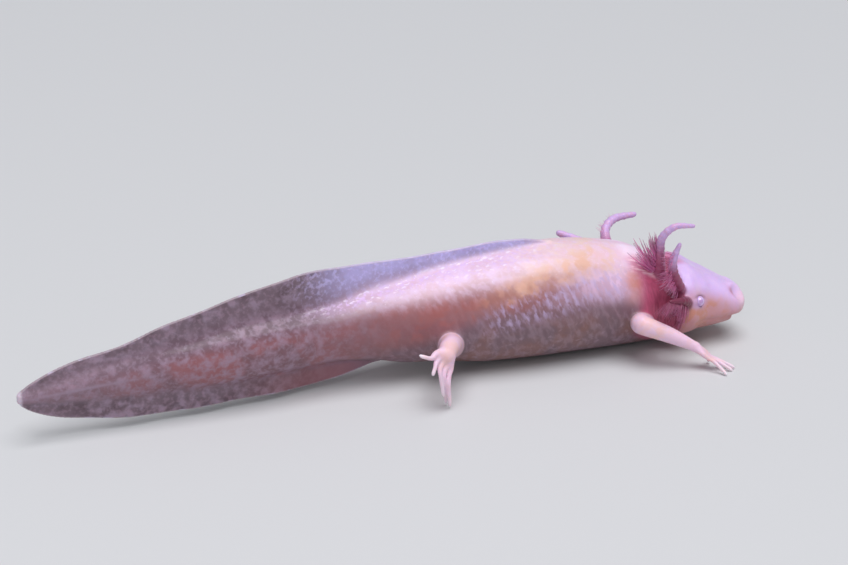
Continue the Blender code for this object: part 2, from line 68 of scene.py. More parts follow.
# midline x and y, height of the widest line, half-width, top and bottom, tail tip to snout
bodyStations = {
    "tail tip": (-176.5, 0.7, 13.1, 0.7, 13.9, 12.3),
    "tail end": (-163.0, 0.2, 14.2, 2.1, 17.2, 11.2),
    "tail middle": (-142.0, -0.5, 15.6, 3.6, 20.6, 10.4),
    "tail quarter": (-118.0, 0.0, 16.8, 5.4, 24.2, 9.0),
    "tail front": (-93.0, 2.6, 17.2, 7.6, 25.4, 8.9),
    "tail root": (-80.0, 2.9, 17.8, 9.2, 28.2, 7.2),
    "vent": (-70.0, 2.9, 17.7, 10.9, 30.0, 4.9),
    "hips": (-60.0, 2.6, 17.8, 12.4, 32.0, 4.0),
    "loins": (-45.0, 2.0, 18.0, 14.4, 34.2, 1.8),
    "belly": (-22.0, 1.1, 18.2, 15.8, 35.8, 1.0),
    "shoulders": (0.0, -0.4, 16.8, 15.0, 33.2, 0.9),
    "nape": (9.0, -0.6, 14.8, 14.6, 29.5, 1.0),
    "gill roots": (15.0, -1.1, 14.0, 15.8, 25.6, 1.4),
    "jaw angle": (20.5, -2.0, 13.8, 16.2, 25.6, 3.1),
    "eyes": (26.0, -3.5, 13.4, 13.6, 23.5, 3.9),
    "cheeks": (31.0, -5.2, 12.7, 11.6, 20.9, 4.6),
    "nostrils": (36.0, -7.0, 12.0, 9.0, 18.0, 5.6),
}
head = {
    "snoutTip": (41.6, -9.2, 11.8),
    "jawEnd": 38.0,
    "snoutSlope": 1.35,
    "bodyCorner": 0.92,
    "headCorner": 0.84,
    "lips": ((38.0, 9.1), (20.0, 9.8)),
    "lipDepth": 0.42,
    "lipWidth": 0.5,
    "lipUnder": 0.45,
    "lipOver": 0.35,
    "foldFoot": (16.6, 15.0),  # x and z of a point of the fold behind the head
    "foldSlope": 0.02,
    "foldDepth": 0.75,
    "foldWidth": 0.9,
}


# a curve through the points that never overshoots them
def smoothCurve(points):
    xs, ys = (np.array(column, float) for column in zip(*points))
    if xs[0] > xs[-1]:
        xs, ys = xs[::-1], ys[::-1]
    steps = np.diff(xs)
    slopes = np.diff(ys) / steps
    tangents = np.r_[slopes[0], np.zeros(len(xs) - 2), slopes[-1]]
    for i in np.flatnonzero(slopes[:-1] * slopes[1:] > 0) + 1:
        before = 2 * steps[i] + steps[i - 1]
        after = steps[i] + 2 * steps[i - 1]
        tangents[i] = (before + after) / (before / slopes[i - 1] + after / slopes[i])

    def at(x):
        x = np.clip(x, xs[0], xs[-1])
        i = np.minimum(np.searchsorted(xs, x, side="right") - 1, len(xs) - 2)
        u = (x - xs[i]) / steps[i]
        near = ys[i] * (1 + 2 * u) * (1 - u) ** 2 + ys[i + 1] * u * u * (3 - 2 * u)
        return near + steps[i] * u * (1 - u) * (tangents[i] * (1 - u) - tangents[i + 1] * u)

    return at


stations = list(bodyStations.values())
tailEnd, snoutStart = stations[0][0], stations[-1][0]
snoutX = head["snoutTip"][0]
midline = smoothCurve([(s[0], s[1]) for s in stations] + [head["snoutTip"][:2]])
widestLine = smoothCurve([(s[0], s[2]) for s in stations] + [(snoutX, head["snoutTip"][2])])
halfWidth = smoothCurve([(s[0], s[3]) for s in stations])
topLine = smoothCurve([(s[0], s[4]) for s in stations])
bottomLine = smoothCurve([(s[0], s[5]) for s in stations])


def smoothStep(value, low, high):
    u = np.clip((value - low) / (high - low), 0, 1)
    return u * u * (3 - 2 * u)


def band(values, low, high, soft):
    return smoothStep(values, low - soft, low + soft) * (1 - smoothStep(values, high - soft, high + soft))


def headingSlope(x):
    slope = (midline(x + 1.5) - midline(x - 1.5)) / 3
    atTip = (midline(snoutX) - midline(snoutX - 4)) / 4
    return np.where(x > snoutX - 3, atTip, slope)


# a point of the skin, angle 0 to the left and 90 degrees up
def bodyPoint(x, degrees):
    slope = float(headingSlope(x))
    left = np.array((-slope, 1.0, 0.0)) / math.hypot(slope, 1)
    shrink = math.sqrt(max(0.0, 1 - (max(0.0, x - snoutStart) / (snoutX - snoutStart)) ** 2))
    cos, sin = math.cos(math.radians(degrees)), math.sin(math.radians(degrees))
    corner = head["bodyCorner"] if x < 14 else head["headCorner"]
    wide = math.copysign(abs(cos) ** corner, cos)
    high = math.copysign(abs(sin) ** corner, sin)
    middle = float(widestLine(x))
    tall = float(topLine(x)) - middle if sin > 0 else middle - float(bottomLine(x))
    centre = np.array((x, float(midline(x)), middle))
    return (centre + left * wide * float(halfWidth(x)) * shrink
            + np.array((0, 0, high * tall * shrink ** head["snoutSlope"])))


def onSide(degrees, side):
    return degrees if side > 0 else 180 - degrees


eye = {"x": 23.8, "angle": 12.0, "radius": 1.7, "depth": 0.75, "bulge": 0.12}


def unit(v):
    return v / np.linalg.norm(v)


def toMiddle(x, here):
    return unit(np.array((x, float(midline(x)), float(widestLine(x)))) - here)


def eyeCentre(side, moved=0.0):
    x = eye["x"] + moved
    here = bodyPoint(x, onSide(eye["angle"], side))
    inwards = toMiddle(x, here)
    return here + inwards * eye["depth"], -inwards


low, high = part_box("eye_right")
shift = np.array((low + high) / 2) / mm - eyeCentre(-1)[0]


def placed(points):
    return (np.asarray(points, float) + shift) * mm


# a block of points that holds how far each is from the skin

block = {"low": (-183.0, -38.6, -1.4), "high": (43.9, 36.2, 46.6), "step": 0.38}
axes = [np.arange(a, b, block["step"], dtype=np.float32) for a, b in zip(block["low"], block["high"])]
print("block of", [len(a) for a in axes])


def softMin(a, b, reach):
    share = np.clip(0.5 + 0.5 * (b - a) / reach, 0, 1)
    return b + (a - b) * share - reach * share * (1 - share)


def softMax(a, b, reach):
    return -softMin(-a, -b, reach)


# along the bent midline, and sideways from it, for places given by x and y
def bodyPlace(x, y):
    along = x
    for _ in range(4):
        along = x + headingSlope(along) * (y - midline(along))
    slope = headingSlope(along)
    return along, (y - midline(along)) * np.sqrt(1 + slope * slope)


def fleshField(along, side, z, tip):
    middle = widestLine(along)
    up = z - middle
    t = np.clip((along - snoutStart) / (tip - snoutStart), 0, None)
    t = np.where(along < tailEnd, (tailEnd - along) / 2.5, t)
    shrink = np.sqrt(np.clip(1 - t * t, 0.03, 1)) ** (head["snoutSlope"] - 1)
    tall = np.where(up > 0, topLine(along) - middle, middle - bottomLine(along)) * shrink
    power = 2 / (head["bodyCorner"] + (head["headCorner"] - head["bodyCorner"]) * smoothStep(along, 11, 17))
    wide = halfWidth(along)
    u, v = np.abs(side) / wide + 1e-4, np.abs(up) / tall + 1e-4
    e = (u**power + v**power) ** (1 / power)
    r = np.sqrt(e * e + t * t)
    slopeSide = (u / e) ** (power - 1) / wide
    slopeUp = (v / e) ** (power - 1) / tall
    steep = np.sqrt((slopeSide**2 + slopeUp**2) * (e / r) ** 2 + (t / r / (tip - snoutStart)) ** 2)
    return (r - 1) / steep


# how far forwards the fold between the head and the gills lies
def foldAt(height):
    return head["foldFoot"][0] + (height - head["foldFoot"][1]) * head["foldSlope"]


along2, side2 = bodyPlace(*np.meshgrid(axes[0], axes[1], indexing="ij"))
along3 = along2[:, :, None].astype(np.float32)
side3 = side2[:, :, None].astype(np.float32)
z3 = axes[2][None, None, :]
field = fleshField(along3, side3, z3, snoutX).astype(np.float32)

# the lower jaw ends behind the snout, and the lips meet in a crease
first = int(np.searchsorted(axes[0], 8.0))
alongHead, sideHead = along3[first:], side3[first:]
(lipFrontX, lipFrontZ), (lipBackX, lipBackZ) = head["lips"]
lipLine = lipFrontZ + (alongHead - lipFrontX) * (lipBackZ - lipFrontZ) / (lipBackX - lipFrontX)
below = 1 - smoothStep(z3, lipLine - head["lipUnder"], lipLine + head["lipOver"])
jaw = fleshField(alongHead, sideHead, z3, head["jawEnd"])
headField = field[first:] * (1 - below) + jaw * below
crease = np.exp(-(((z3 - lipLine) / head["lipWidth"]) ** 2))
headField += head["lipDepth"] * crease * smoothStep(alongHead, 18.0, 22.5)

fold = np.exp(-(((alongHead - foldAt(z3)) / head["foldWidth"]) ** 2))
fold *= smoothStep(np.abs(sideHead), 2.0, 8.0) * smoothStep(z3, 2.0, 6.0)
headField += head["foldDepth"] * fold
field[first:] = headField
print("flesh")

# swellings and hollows of the head: x, angle, how deep under the skin, radius, softness
headForms = {
    "cheek": (20.5, -12, 5.5, 5.0, 2.4),
    "brow": (25.0, 38, 3.0, 2.6, 1.8),
    "templeMuscle": (20.0, 58, 6.7, 6.0, 2.6),
    "nostrilSwelling": (36.6, 60, 2.5, 2.0, 1.6),
}
headHollows = {"snoutTop": (40.3, 61, -3.7, 4.1, 1.4)}
nostril = {"x": 36.9, "angle": 49, "radius": 0.75, "depth": 0.4, "melt": 0.5, "colour": 1.7}
# the low mound of skin that holds an eye: swollen behind it, and with an edge above and below
eyeMound = {"back": 2.3, "radius": 0.95, "edge": 0.8, "edgeUp": 0.7, "melt": 0.9, "rim": 0.3,
            "overlap": 0.05}


def window(low, high):
    return tuple(
        slice(max(0, int((a - axis[0]) / block["step"])), max(0, int((b - axis[0]) / block["step"]) + 2))
        for a, b, axis in zip(low, high, axes)
    )


# melts a ball into the flesh, or with the way -1 out of it
def swell(centre, radius, melt, margin=3.0, way=1):
    centre = np.asarray(centre, float)
    part = window(centre - radius - margin, centre + radius + margin)
    x, y, z = (axis[s] - middle for axis, s, middle in zip(axes, part, centre))
    away = np.sqrt(x[:, None, None] ** 2 + y[None, :, None] ** 2 + z[None, None, :] ** 2) - radius
    field[part] = softMin(field[part], away, melt) if way > 0 else softMax(field[part], -away, melt)


def underSkin(x, degrees, depth):
    here = bodyPoint(x, degrees)
    return here + toMiddle(x, here) * depth


def nostrilCentre(side):
    return underSkin(nostril["x"], onSide(nostril["angle"], side), nostril["depth"])


for way, forms in ((1, headForms), (-1, headHollows)):
    for x, degrees, depth, radius, melt in forms.values():
        for side in (1, -1):
            swell(underSkin(x, onSide(degrees, side), depth), radius, melt, melt + 1, way)
for side in (1, -1):
    centre, outwards = eyeCentre(side)
    swell(eyeCentre(side, -eyeMound["back"])[0], eyeMound["radius"], eyeMound["melt"])
    for way in (1, -1):
        swell(centre + np.array((0, 0, way * eyeMound["edgeUp"])), eyeMound["edge"], eyeMound["melt"])
    swell(centre + outwards * eye["bulge"], eye["radius"] - eyeMound["overlap"], eyeMound["rim"], way=-1)
    swell(nostrilCentre(side), nostril["radius"], nostril["melt"], 2.0, -1)
print("head")

# ribs' grooves along the flank
ribs = {"first": -58.0, "last": -3.0, "spacing": 2.9, "slant": 0.5, "depth": 0.16, "width": 0.75}
ribPlace = along3 + ribs["slant"] * (z3 - 18)
ribPhase = np.mod(ribPlace, ribs["spacing"]) - ribs["spacing"] / 2
groove = np.exp(-((ribPhase / ribs["width"]) ** 2)) * ribs["depth"]
groove *= smoothStep(ribPlace, ribs["first"] - 4, ribs["first"] + 4)
groove *= 1 - smoothStep(ribPlace, ribs["last"] - 5, ribs["last"] + 2)
groove *= band(z3, 7.5, 27.5, 3.5)
field += groove

# fins: x and z of their edges
crest = smoothCurve([
    (-180.8, 13.9), (-177.6, 16.5), (-170.0, 20.1), (-154.0, 23.9), (-140.5, 28.1),
    (-125.0, 32.0), (-109.0, 35.3), (-92.0, 36.7), (-77.0, 36.6), (-57.0, 37.1),
    (-43.0, 38.2), (-32.0, 37.9), (-23.0, 36.1),
])
keel = smoothCurve([
    (-180.8, 12.1), (-178.0, 9.5), (-172.7, 7.0), (-167.0, 5.3), (-157.0, 3.6),
    (-148.0, 2.8), (-134.0, 2.4), (-118.0, 2.4), (-101.0, 2.0), (-93.0, 2.8),
    (-84.0, 4.4), (-77.5, 6.0),
])
fins = {"rim": 0.4, "root": 1.1, "least": 0.3, "thin": 0.35, "thicken": 0.12, "taper": 1.5,
         "melt": 2.4, "ripple": 0.35, "rippleLength": 21.0,
        "tailEnd": -179.6, "crestEnd": -23.0, "keelEnd": -77.5,
        "nub": (-179.9, 0.7, 13.0), "nubRadius": 0.5, "nubMelt": 0.8}


def finField(along, side, z, edgeLine, upwards, firstX, lastX):
    way, root = (1, topLine(along)) if upwards else (-1, bottomLine(along))
    over, under = way * (z - root), way * (widestLine(along) - z)
    tall = np.maximum(way * (edgeLine(along) - root), fins["least"])
    share = np.clip(over / tall, 0, 1)
    thick = np.minimum(fins["root"], fins["thin"] + fins["thicken"] * tall)
    half = fins["rim"] + (thick - fins["rim"]) * (1 - share) ** fins["taper"]
    ripple = fins["ripple"] * np.sin(along / fins["rippleLength"] * 2 * math.pi) * share ** fins["taper"]
    across = np.abs(side - ripple) - half + fins["rim"]
    beyond = over - tall + fins["rim"]
    ends = np.maximum(firstX - along, along - lastX) + fins["rim"]
    beyond = np.maximum(np.maximum(beyond, ends), under)
    outside = np.sqrt(np.maximum(across, 0) ** 2 + np.maximum(beyond, 0) ** 2)
    return outside + np.minimum(np.maximum(across, beyond), 0) - fins["rim"]


last = int(np.searchsorted(axes[0], fins["crestEnd"] + 4))
alongTail, sideTail = along3[:last], side3[:last]
for edgeLine, upwards, lastX in ((crest, True, fins["crestEnd"]), (keel, False, fins["keelEnd"])):
    sheet = finField(alongTail, sideTail, z3, edgeLine, upwards, fins["tailEnd"], lastX)
    field[:last] = softMin(field[:last], sheet, fins["melt"])
swell(fins["nub"], fins["nubRadius"], fins["nubMelt"], 2.0)
print("fins")

# legs from inside the body to the wrist or ankle: x, y, z and radius
legs = {
    "foreleg_right": ((6.0, -7.5, 9.5, 3.8), (2.0, -14.0, 11.4, 3.3), (-2.0, -19.8, 13.4, 3.0),
                      (5.0, -23.8, 10.5, 2.4), (12.2, -27.0, 6.8, 1.5)),
    "foreleg_left": ((-4.0, 8.0, 12.0, 4.4), (-6.0, 15.0, 13.4, 3.7), (-9.5, 21.0, 13.4, 3.1),
                     (-15.5, 23.6, 9.6, 2.4), (-22.0, 25.0, 4.6, 1.5)),
    "hindleg_right": ((-58.0, -4.5, 10.8, 4.4), (-60.4, -10.5, 13.0, 3.7), (-62.9, -16.2, 15.3, 3.0),
                      (-65.0, -19.2, 15.8, 2.8), (-67.0, -22.0, 15.4, 2.6)),
    "hindleg_left": ((-57.5, 8.0, 12.0, 5.4), (-61.0, 16.0, 14.6, 4.3), (-66.5, 22.6, 13.6, 3.4),
                     (-73.0, 25.0, 8.8, 2.7), (-79.4, 26.0, 4.2, 1.8)),
}
legMelt, footMelt = 1.3, 0.7

# the back's way up, the middle of the knuckles, the width and thickness there, the
# thickness of a toe, and the toe tips from the inner toe to the outer one
feet = {
    "foreleg_right": {"up": (0.35, -0.25, 0.9), "knuckles": (16.0, -29.2, 3.7), "width": 4.6,
                      "thickness": 1.5, "toe": 1.25,
                      "tips": ((18.3, -25.4, 0), (23.0, -33.0, 0), (21.2, -34.4, 0), (17.6, -36.6, 0))},
    "foreleg_left": {"up": (-0.3, 0.0, 1.0), "knuckles": (-26.6, 24.9, 1.4), "width": 4.8,
                     "thickness": 1.5, "toe": 1.25,
                     "tips": ((-32.0, 18.6, 0), (-36.6, 22.2, 0), (-37.0, 26.6, 0), (-32.6, 31.0, 0))},
    "hindleg_right": {"up": (0.4, -0.84, 0.35), "knuckles": (-70.0, -24.4, 13.0), "width": 9.6,
                      "thickness": 1.8, "toe": 1.3,
                      "tips": ((-76.3, -24.2, 17.8), (-73.0, -26.0, 11.6), (-69.2, -25.4, 4.4),
                               (-66.8, -21.8, 0), (-66.7, -24.1, 0))},
    "hindleg_left": {"up": (-0.2, 0.0, 1.0), "knuckles": (-84.4, 26.0, 1.5), "width": 6.4,
                     "thickness": 1.8, "toe": 1.3,
                     "tips": ((-87.0, 17.4, 0), (-92.8, 21.2, 0), (-95.6, 25.8, 0),
                              (-94.0, 30.6, 0), (-87.6, 34.2, 0))},
}


# points and radii along a smooth path through the given ones
def smoothPath(path, perSpan):
    path = np.array(path, float)
    whole = np.vstack((2 * path[0] - path[1], path, 2 * path[-1] - path[-2]))
    found = []
    for i in range(len(path) - 1):
        a, b, c, d = whole[i:i + 4]
        for u in np.arange(perSpan) / perSpan:
            found.append(0.5 * (2 * b + (c - a) * u + (2 * a - 5 * b + 4 * c - d) * u * u
                                + (3 * b - a - 3 * c + d) * u**3))
    return np.array(found + [path[-1]])


# distance to a chain of round lengths, on the part of the block about all the chains
def chainsField(chains, melt, margin):
    everything = np.vstack(chains)
    part = window(everything[:, :3].min(0) - margin, everything[:, :3].max(0) + margin)
    x, y, z = (axis[s].astype(np.float32) for axis, s in zip(axes, part))
    result = None
    for chain in chains:
        own = None
        for (ax, ay, az, ar), (bx, by, bz, br) in zip(chain, chain[1:]):
            way = np.array((bx - ax, by - ay, bz - az))
            length = float(way @ way) + 1e-9
            dx, dy, dz = (x - ax)[:, None, None], (y - ay)[None, :, None], (z - az)[None, None, :]
            t = np.clip((dx * way[0] + dy * way[1] + dz * way[2]) / length, 0, 1)
            away = np.sqrt((dx - t * way[0]) ** 2 + (dy - t * way[1]) ** 2 + (dz - t * way[2]) ** 2)
            away -= ar + t * (br - ar)
            own = away if own is None else np.minimum(own, away)
        result = own if result is None else softMin(result, own, melt)
    return part, result


# one chain for each toe, from the wrist through the palm to the tip
def toeChains(path, foot):
    tips = np.array(foot["tips"], float)
    ankle = np.array(path[-1][:3])
    wrist = path[-1][3]
    knuckles = np.array(foot["knuckles"])
    forwards = unit(knuckles - ankle)
    up = np.array(foot["up"])
    up = unit(up - forwards * (up @ forwards))
    across = np.cross(up, forwards)
    if (tips[-1] - tips[0]) @ across < 0:
        across = -across
    palm = np.linalg.norm(knuckles - ankle)
    chains = []
    for j, tip in enumerate(tips):
        place = (j + 0.5) / len(tips) - 0.5
        knuckle = ankle + forwards * palm * (1 - 0.9 * place * place) + across * foot["width"] * place
        middle = ankle + (forwards * 0.5 * palm) + across * place * (wrist * 0.6 + foot["width"] * 0.7)
        start = ankle + across * place * wrist * 0.9
        reach = np.linalg.norm(tip - knuckle)
        bend = knuckle + (forwards * 0.35 + unit(tip - knuckle) * 0.65) * reach * 0.5 + up * 0.08 * reach
        toe = foot["toe"] / 2
        low = tip - unit(tip - knuckle) * 0.4 + np.array((0, 0, 0.45 * toe if tip[2] < 1 else 0))
        nearTip = bend + (low - bend) * 0.72
        thick = foot["thickness"]
        chain = [(*start, wrist * 0.72), (*middle, thick * 0.56), (*knuckle, thick * 0.44),
                 (*(knuckle * 0.4 + bend * 0.6), toe * 0.92), (*nearTip, toe * 0.86), (*low, toe * 0.5)]
        chains.append(smoothPath(chain, 4))
    return chains


legChains = {name: smoothPath(path, 7) for name, path in legs.items()}
footChains = {name: toeChains(legs[name], foot) for name, foot in feet.items()}
for name, chain in legChains.items():
    whole, limb = chainsField([chain, *footChains[name]], footMelt, 4.0)
    field[whole] = softMin(field[whole], limb, legMelt)
print("legs and feet")

# gill stalks from inside the neck to the tip, and the filaments on a span of each: which way they
# lean, how long and how many they are, how they sweep, fan out, shrink and curl, where along the
# stalk it turns pale, and how pale the tips are
gillKeys = ("path", "lean", "length", "span", "count", "sweep", "fan", "shrink", "curl", "pale", "tips")
gillRows = {
    "right_1": (((9.5, -9.0, 20.5, 2.2), (7.6, -12.6, 27.5, 1.7), (5.1, -16.0, 34.8, 1.3),
               (4.0, -18.6, 39.8, 1.2), (6.6, -21.0, 43.3, 1.0), (12.2, -22.0, 43.1, 0.6)),
              (-0.68, 0.05, 0.6), 13.2, (0.14, 0.46), 300, 1.6, 0.45, 0.42, -0.1, 0.42, 1.0),
    "right_2": (((15.2, -10.5, 17.0, 2.2), (12.8, -15.8, 21.6, 1.7), (9.2, -17.8, 27.4, 1.4),
               (7.8, -19.2, 32.2, 1.2), (8.9, -20.4, 37.4, 0.6)),
              (-0.9, 0.1, -0.4), 7.0, (0.1, 0.86), 300, 0.9, 1.0, 0.45, 0.3, 0.62, 0.65),
    "right_3": (((15.0, -11.5, 14.0, 2.4), (14.6, -17.4, 17.0, 1.7), (10.8, -21.0, 19.4, 1.2),
               (5.4, -22.6, 20.6, 0.6)),
              (-0.8, -0.3, -0.55), 7.6, (0.16, 1.0), 430, 0.4, 1.1, 0.3, 0.4, 1.5, 0.12),
    "left_1": (((8.0, 7.0, 20.5, 2.2), (4.6, 12.6, 27.5, 1.7), (5.6, 16.6, 31.4, 1.4),
               (10.6, 19.6, 33.6, 1.3), (18.1, 20.0, 34.0, 0.9)),
              (-0.85, 0.1, 0.5), 4.2, (0.2, 0.75), 70, 0.8, 0.6, 0.4, 0.1, 0.3, 1.0),
    "left_2": (((9.0, 8.5, 18.0, 2.2), (4.4, 14.6, 23.4, 1.6), (-1.5, 18.8, 27.6, 1.3),
               (-7.2, 23.6, 29.8, 1.1)),
              (-0.75, -0.1, -0.65), 4.5, (0.25, 0.85), 170, 0.5, 0.8, 0.5, 0.3, 0.5, 0.45),
    "left_3": (((12.0, 10.0, 13.5, 2.4), (9.4, 16.6, 14.8, 1.8), (4.0, 20.2, 16.8, 1.3),
               (-2.0, 22.2, 19.0, 0.6)),
              (-0.75, 0.35, -0.55), 6.5, (0.16, 1.0), 360, 0.4, 1.1, 0.4, 0.4, 1.5, 0.12),
}
gills = {name: dict(zip(gillKeys, row)) for name, row in gillRows.items()}
stalks = {"melt": 1.5, "lumps": 0.09, "lumpStep": 2.3}
stalkChains = {name: smoothPath(gill["path"], 8) for name, gill in gills.items()}
for chain in stalkChains.values():
    chain[:, 3] *= 1 + stalks["lumps"] * np.sin(np.arange(len(chain)) * stalks["lumpStep"])
    part, stalk = chainsField([chain], 1.0, 5.0)
    field[part] = softMin(field[part], stalk, stalks["melt"])
print("gill stalks")

# the skin, wrapped round the block's zero line


def atPoints(values, points):
    step = block["step"]
    places = (points - np.array([a[0] for a in axes])) / step
    whole = np.clip(places.astype(int), 0, np.array(values.shape) - 2)
    u = places - whole
    result = np.zeros(len(points))
    for corner in range(8):
        bits = np.array((corner & 1, corner >> 1 & 1, corner >> 2 & 1))
        share = np.prod(np.where(bits, u, 1 - u), axis=1)
        i, j, k = (whole + bits).T
        result += share * values[i, j, k]
    return result


def wrapped(values):
    cells = np.array(values.shape)
    strides = np.array((cells[1] * cells[2], cells[2], 1))
    ids, spots, quads = [], [], []
    for axis in range(3):
        turned = np.moveaxis(values, axis, 0)
        near, far = (np.moveaxis(half, 0, axis) for half in (turned[:-1], turned[1:]))
        where = np.argwhere((near < 0) != (far < 0))
        a, b = near[tuple(where.T)], far[tuple(where.T)]
        spot = where.astype(float)
        spot[:, axis] += a / (a - b)
        one, two = (axis + 1) % 3, (axis + 2) % 3
        ring = []
        for backOne, backTwo in ((0, 0), (1, 0), (1, 1), (0, 1)):
            cell = where.copy()
            cell[:, one] -= backOne
            cell[:, two] -= backTwo
            ring.append(cell @ strides)
            ids.append(ring[-1])
            spots.append(spot)
        quad = np.stack(ring, 1)
        quad[a > 0] = quad[a > 0][:, ::-1]
        quads.append(quad)
    ids, spots, quads = np.concatenate(ids), np.concatenate(spots), np.concatenate(quads)
    cellIds, inverse = np.unique(ids, return_inverse=True)
    count = np.bincount(inverse)
    points = np.stack([np.bincount(inverse, spots[:, a]) / count for a in range(3)], 1)
    points = points * block["step"] + np.array([a[0] for a in axes])
    return points, np.searchsorted(cellIds, quads)


# slides points along the field's slope until they lie on the zero line
def settled(points, values, rounds):
    for _ in range(rounds):
        slope = np.zeros_like(points)
        for a in range(3):
            move = np.zeros(3)
            move[a] = block["step"] / 2
            slope[:, a] = (atPoints(values, points + move) - atPoints(values, points - move)) / block["step"]
        square = np.maximum((slope**2).sum(1), 0.15)
        points = points - slope * np.clip(atPoints(values, points) / square, -0.3, 0.3)[:, None]
    return points


def addObject(name, data):
    piece = bpy.data.objects.new(name, data)
    bpy.context.scene.collection.objects.link(piece)
    return piece


def newPiece(name, points, edges, faces):
    mesh = bpy.data.meshes.new(name)
    mesh.from_pydata(points, edges, faces)
    mesh.shade_smooth()
    return addObject(name, mesh)


def applied(piece):
    graph = bpy.context.evaluated_depsgraph_get()
    mesh = bpy.data.meshes.new_from_object(piece.evaluated_get(graph))
    piece.modifiers.clear()
    piece.data = mesh
    return piece


# drops slivers, closes the few torn edges and smooths the folds that the thinning leaves
def cleaned(mesh, merge, rounds):
    work = bmesh.new()
    work.from_mesh(mesh)
    bmesh.ops.remove_doubles(work, verts=work.verts, dist=merge)
    bmesh.ops.dissolve_degenerate(work, dist=merge, edges=work.edges)
    for _ in range(rounds):
        torn = {face for line in work.edges if len(line.link_faces) != 2 for face in line.link_faces}
        bmesh.ops.delete(work, geom=list(torn), context="FACES")
        bmesh.ops.delete(work, geom=[v for v in work.verts if not v.link_faces], context="VERTS")
        holes = [line for line in work.edges if len(line.link_faces) == 1]
        if not holes:
            break
        bmesh.ops.holes_fill(work, edges=holes, sides=0)
    bmesh.ops.triangulate(work, faces=[face for face in work.faces if len(face.verts) > 3])
    for _ in range(rounds):
        work.normal_update()
        pairs = [line.link_faces for line in work.edges if len(line.link_faces) == 2]
        folded = [(a, b) for a, b in pairs if a.normal.dot(b.normal) < 0]
        if not folded:
            break
        near = {corner for pair in folded for face in pair for corner in face.verts}
        bmesh.ops.smooth_vert(work, verts=list(near), factor=0.5, use_axis_x=True, use_axis_y=True,
                              use_axis_z=True)
    work.to_mesh(mesh)
    work.free()
    mesh.shade_smooth()


skinSizes = {"triangles": 186000, "settleRounds": 2, "merge": 0.012, "cleanRounds": 8, "lowest": 0.001}
points, quads = wrapped(field)
points = settled(points, field, skinSizes["settleRounds"])
skin = newPiece("axolotlSkin", points.astype(np.float32), [], quads)
print("skin of", len(quads), "quads")
fewer = skin.modifiers.new("fewer", "DECIMATE")
fewer.ratio = min(1.0, skinSizes["triangles"] / (2 * len(quads)))
fewer.use_collapse_triangulate = True
applied(skin)
cleaned(skin.data, skinSizes["merge"], skinSizes["cleanRounds"])
print("thinned to", len(skin.data.polygons), "faces")

flat = np.zeros(len(skin.data.vertices) * 3, np.float32)
skin.data.vertices.foreach_get("co", flat)
points = flat.reshape(-1, 3).astype(float)
points[:, 2] = np.maximum(points[:, 2], skinSizes["lowest"])
along, side = bodyPlace(points[:, 0], points[:, 1])
skin.data.vertices.foreach_set("co", placed(points).astype(np.float32).ravel())
skin.data.update()


def addMask(mesh, name, values):
    layer = mesh.attributes.new(name, "FLOAT", "POINT")
    layer.data.foreach_set("value", np.asarray(values, np.float32))


# nearest point of a set of chains: distance to its surface, and share of the way along it
def nearChains(points, chains):
    best = np.full(len(points), 1e3)
    share = np.zeros(len(points))
    for chain in chains:
        fine = smoothPath(chain, 2)
        low, high = fine[:, :3].min(0) - 6, fine[:, :3].max(0) + 6
        close = np.flatnonzero(((points > low) & (points < high)).all(1))
        for k, (x, y, z, r) in enumerate(fine):
            away = np.linalg.norm(points[close] - (x, y, z), axis=1) - r
            better = away < best[close]
            best[close[better]] = away[better]
            share[close[better]] = k / (len(fine) - 1)
    return best, share


z = points[:, 2]
middle = widestLine(along)
tall = np.where(z > middle, topLine(along) - middle, middle - bottomLine(along))
rise = np.clip((z - middle) / tall, -1.6, 1.6)
narrow = smoothStep(-np.abs(side), -3.2, -1.4)
topFin = smoothStep((z - topLine(along)) / np.maximum(crest(along) - topLine(along), 0.5), -0.1, 0.75)
topFin *= (1 - smoothStep(along, -36, fins["crestEnd"])) * narrow
lowFin = smoothStep((bottomLine(along) - z) / np.maximum(bottomLine(along) - keel(along), 0.5), -0.05, 0.4)
lowFin *= (1 - smoothStep(along, -88, fins["keelEnd"])) * narrow
onBody = fleshField(along, side, z, snoutX)
legAway, _ = nearChains(points, list(legChains.values()))
toeAway, toeShare = nearChains(points, [c for chains in footChains.values() for c in chains])
onLimb = np.maximum(1 - smoothStep(legAway, 0.05, 0.6), 1 - smoothStep(toeAway, 0.2, 0.8))
onLimb *= smoothStep(onBody, 0.3, 1.3)
onStalk, stalkPale, stalkMauve = np.zeros((3, len(points)))
for name, chain in stalkChains.items():
    away, share = nearChains(points, [chain])
    own = (1 - smoothStep(away, 0.2, 1.0)) * smoothStep(onBody, -0.2, 1.0) * (1 - onLimb)
    pale = smoothStep(share, gills[name]["pale"] - 0.12, gills[name]["pale"] + 0.22)
    stalkPale = np.where(own > onStalk, pale, stalkPale)
    stalkMauve = np.where(own > onStalk, gills[name]["tips"], stalkMauve)
    onStalk = np.maximum(onStalk, own)
sideways = np.abs(side)
headStart = foldAt(z) + 2.2 * smoothStep(z, 22, 25) * (1 - smoothStep(sideways, 1.0, 4.0))
edgeSoft = 0.6 + 2.2 * smoothStep(side, 2, 7)
onHead = smoothStep(along - headStart, -edgeSoft, edgeSoft) * smoothStep(along, 10, 16)
patchLine = 0.1 + 0.35 * np.clip((along + 42) / 34, -0.4, 1.2)  # rise of the pale marks, higher forwards
goldLine = patchLine + 0.44
rustLow = 0.2 - 0.6 * smoothStep(-along, 45, 75)
ribWave = np.cos((along + ribs["slant"] * (z - 18)) / ribs["spacing"] * 2 * math.pi + math.pi)
neckHeight = z + 0.5 * np.clip(along - 1, 0, 12)
flushTop = 28.5 + 6 * smoothStep(along, 2.5, 9)
deepTop = 22.5 + 13 * smoothStep(along, 9, 14)
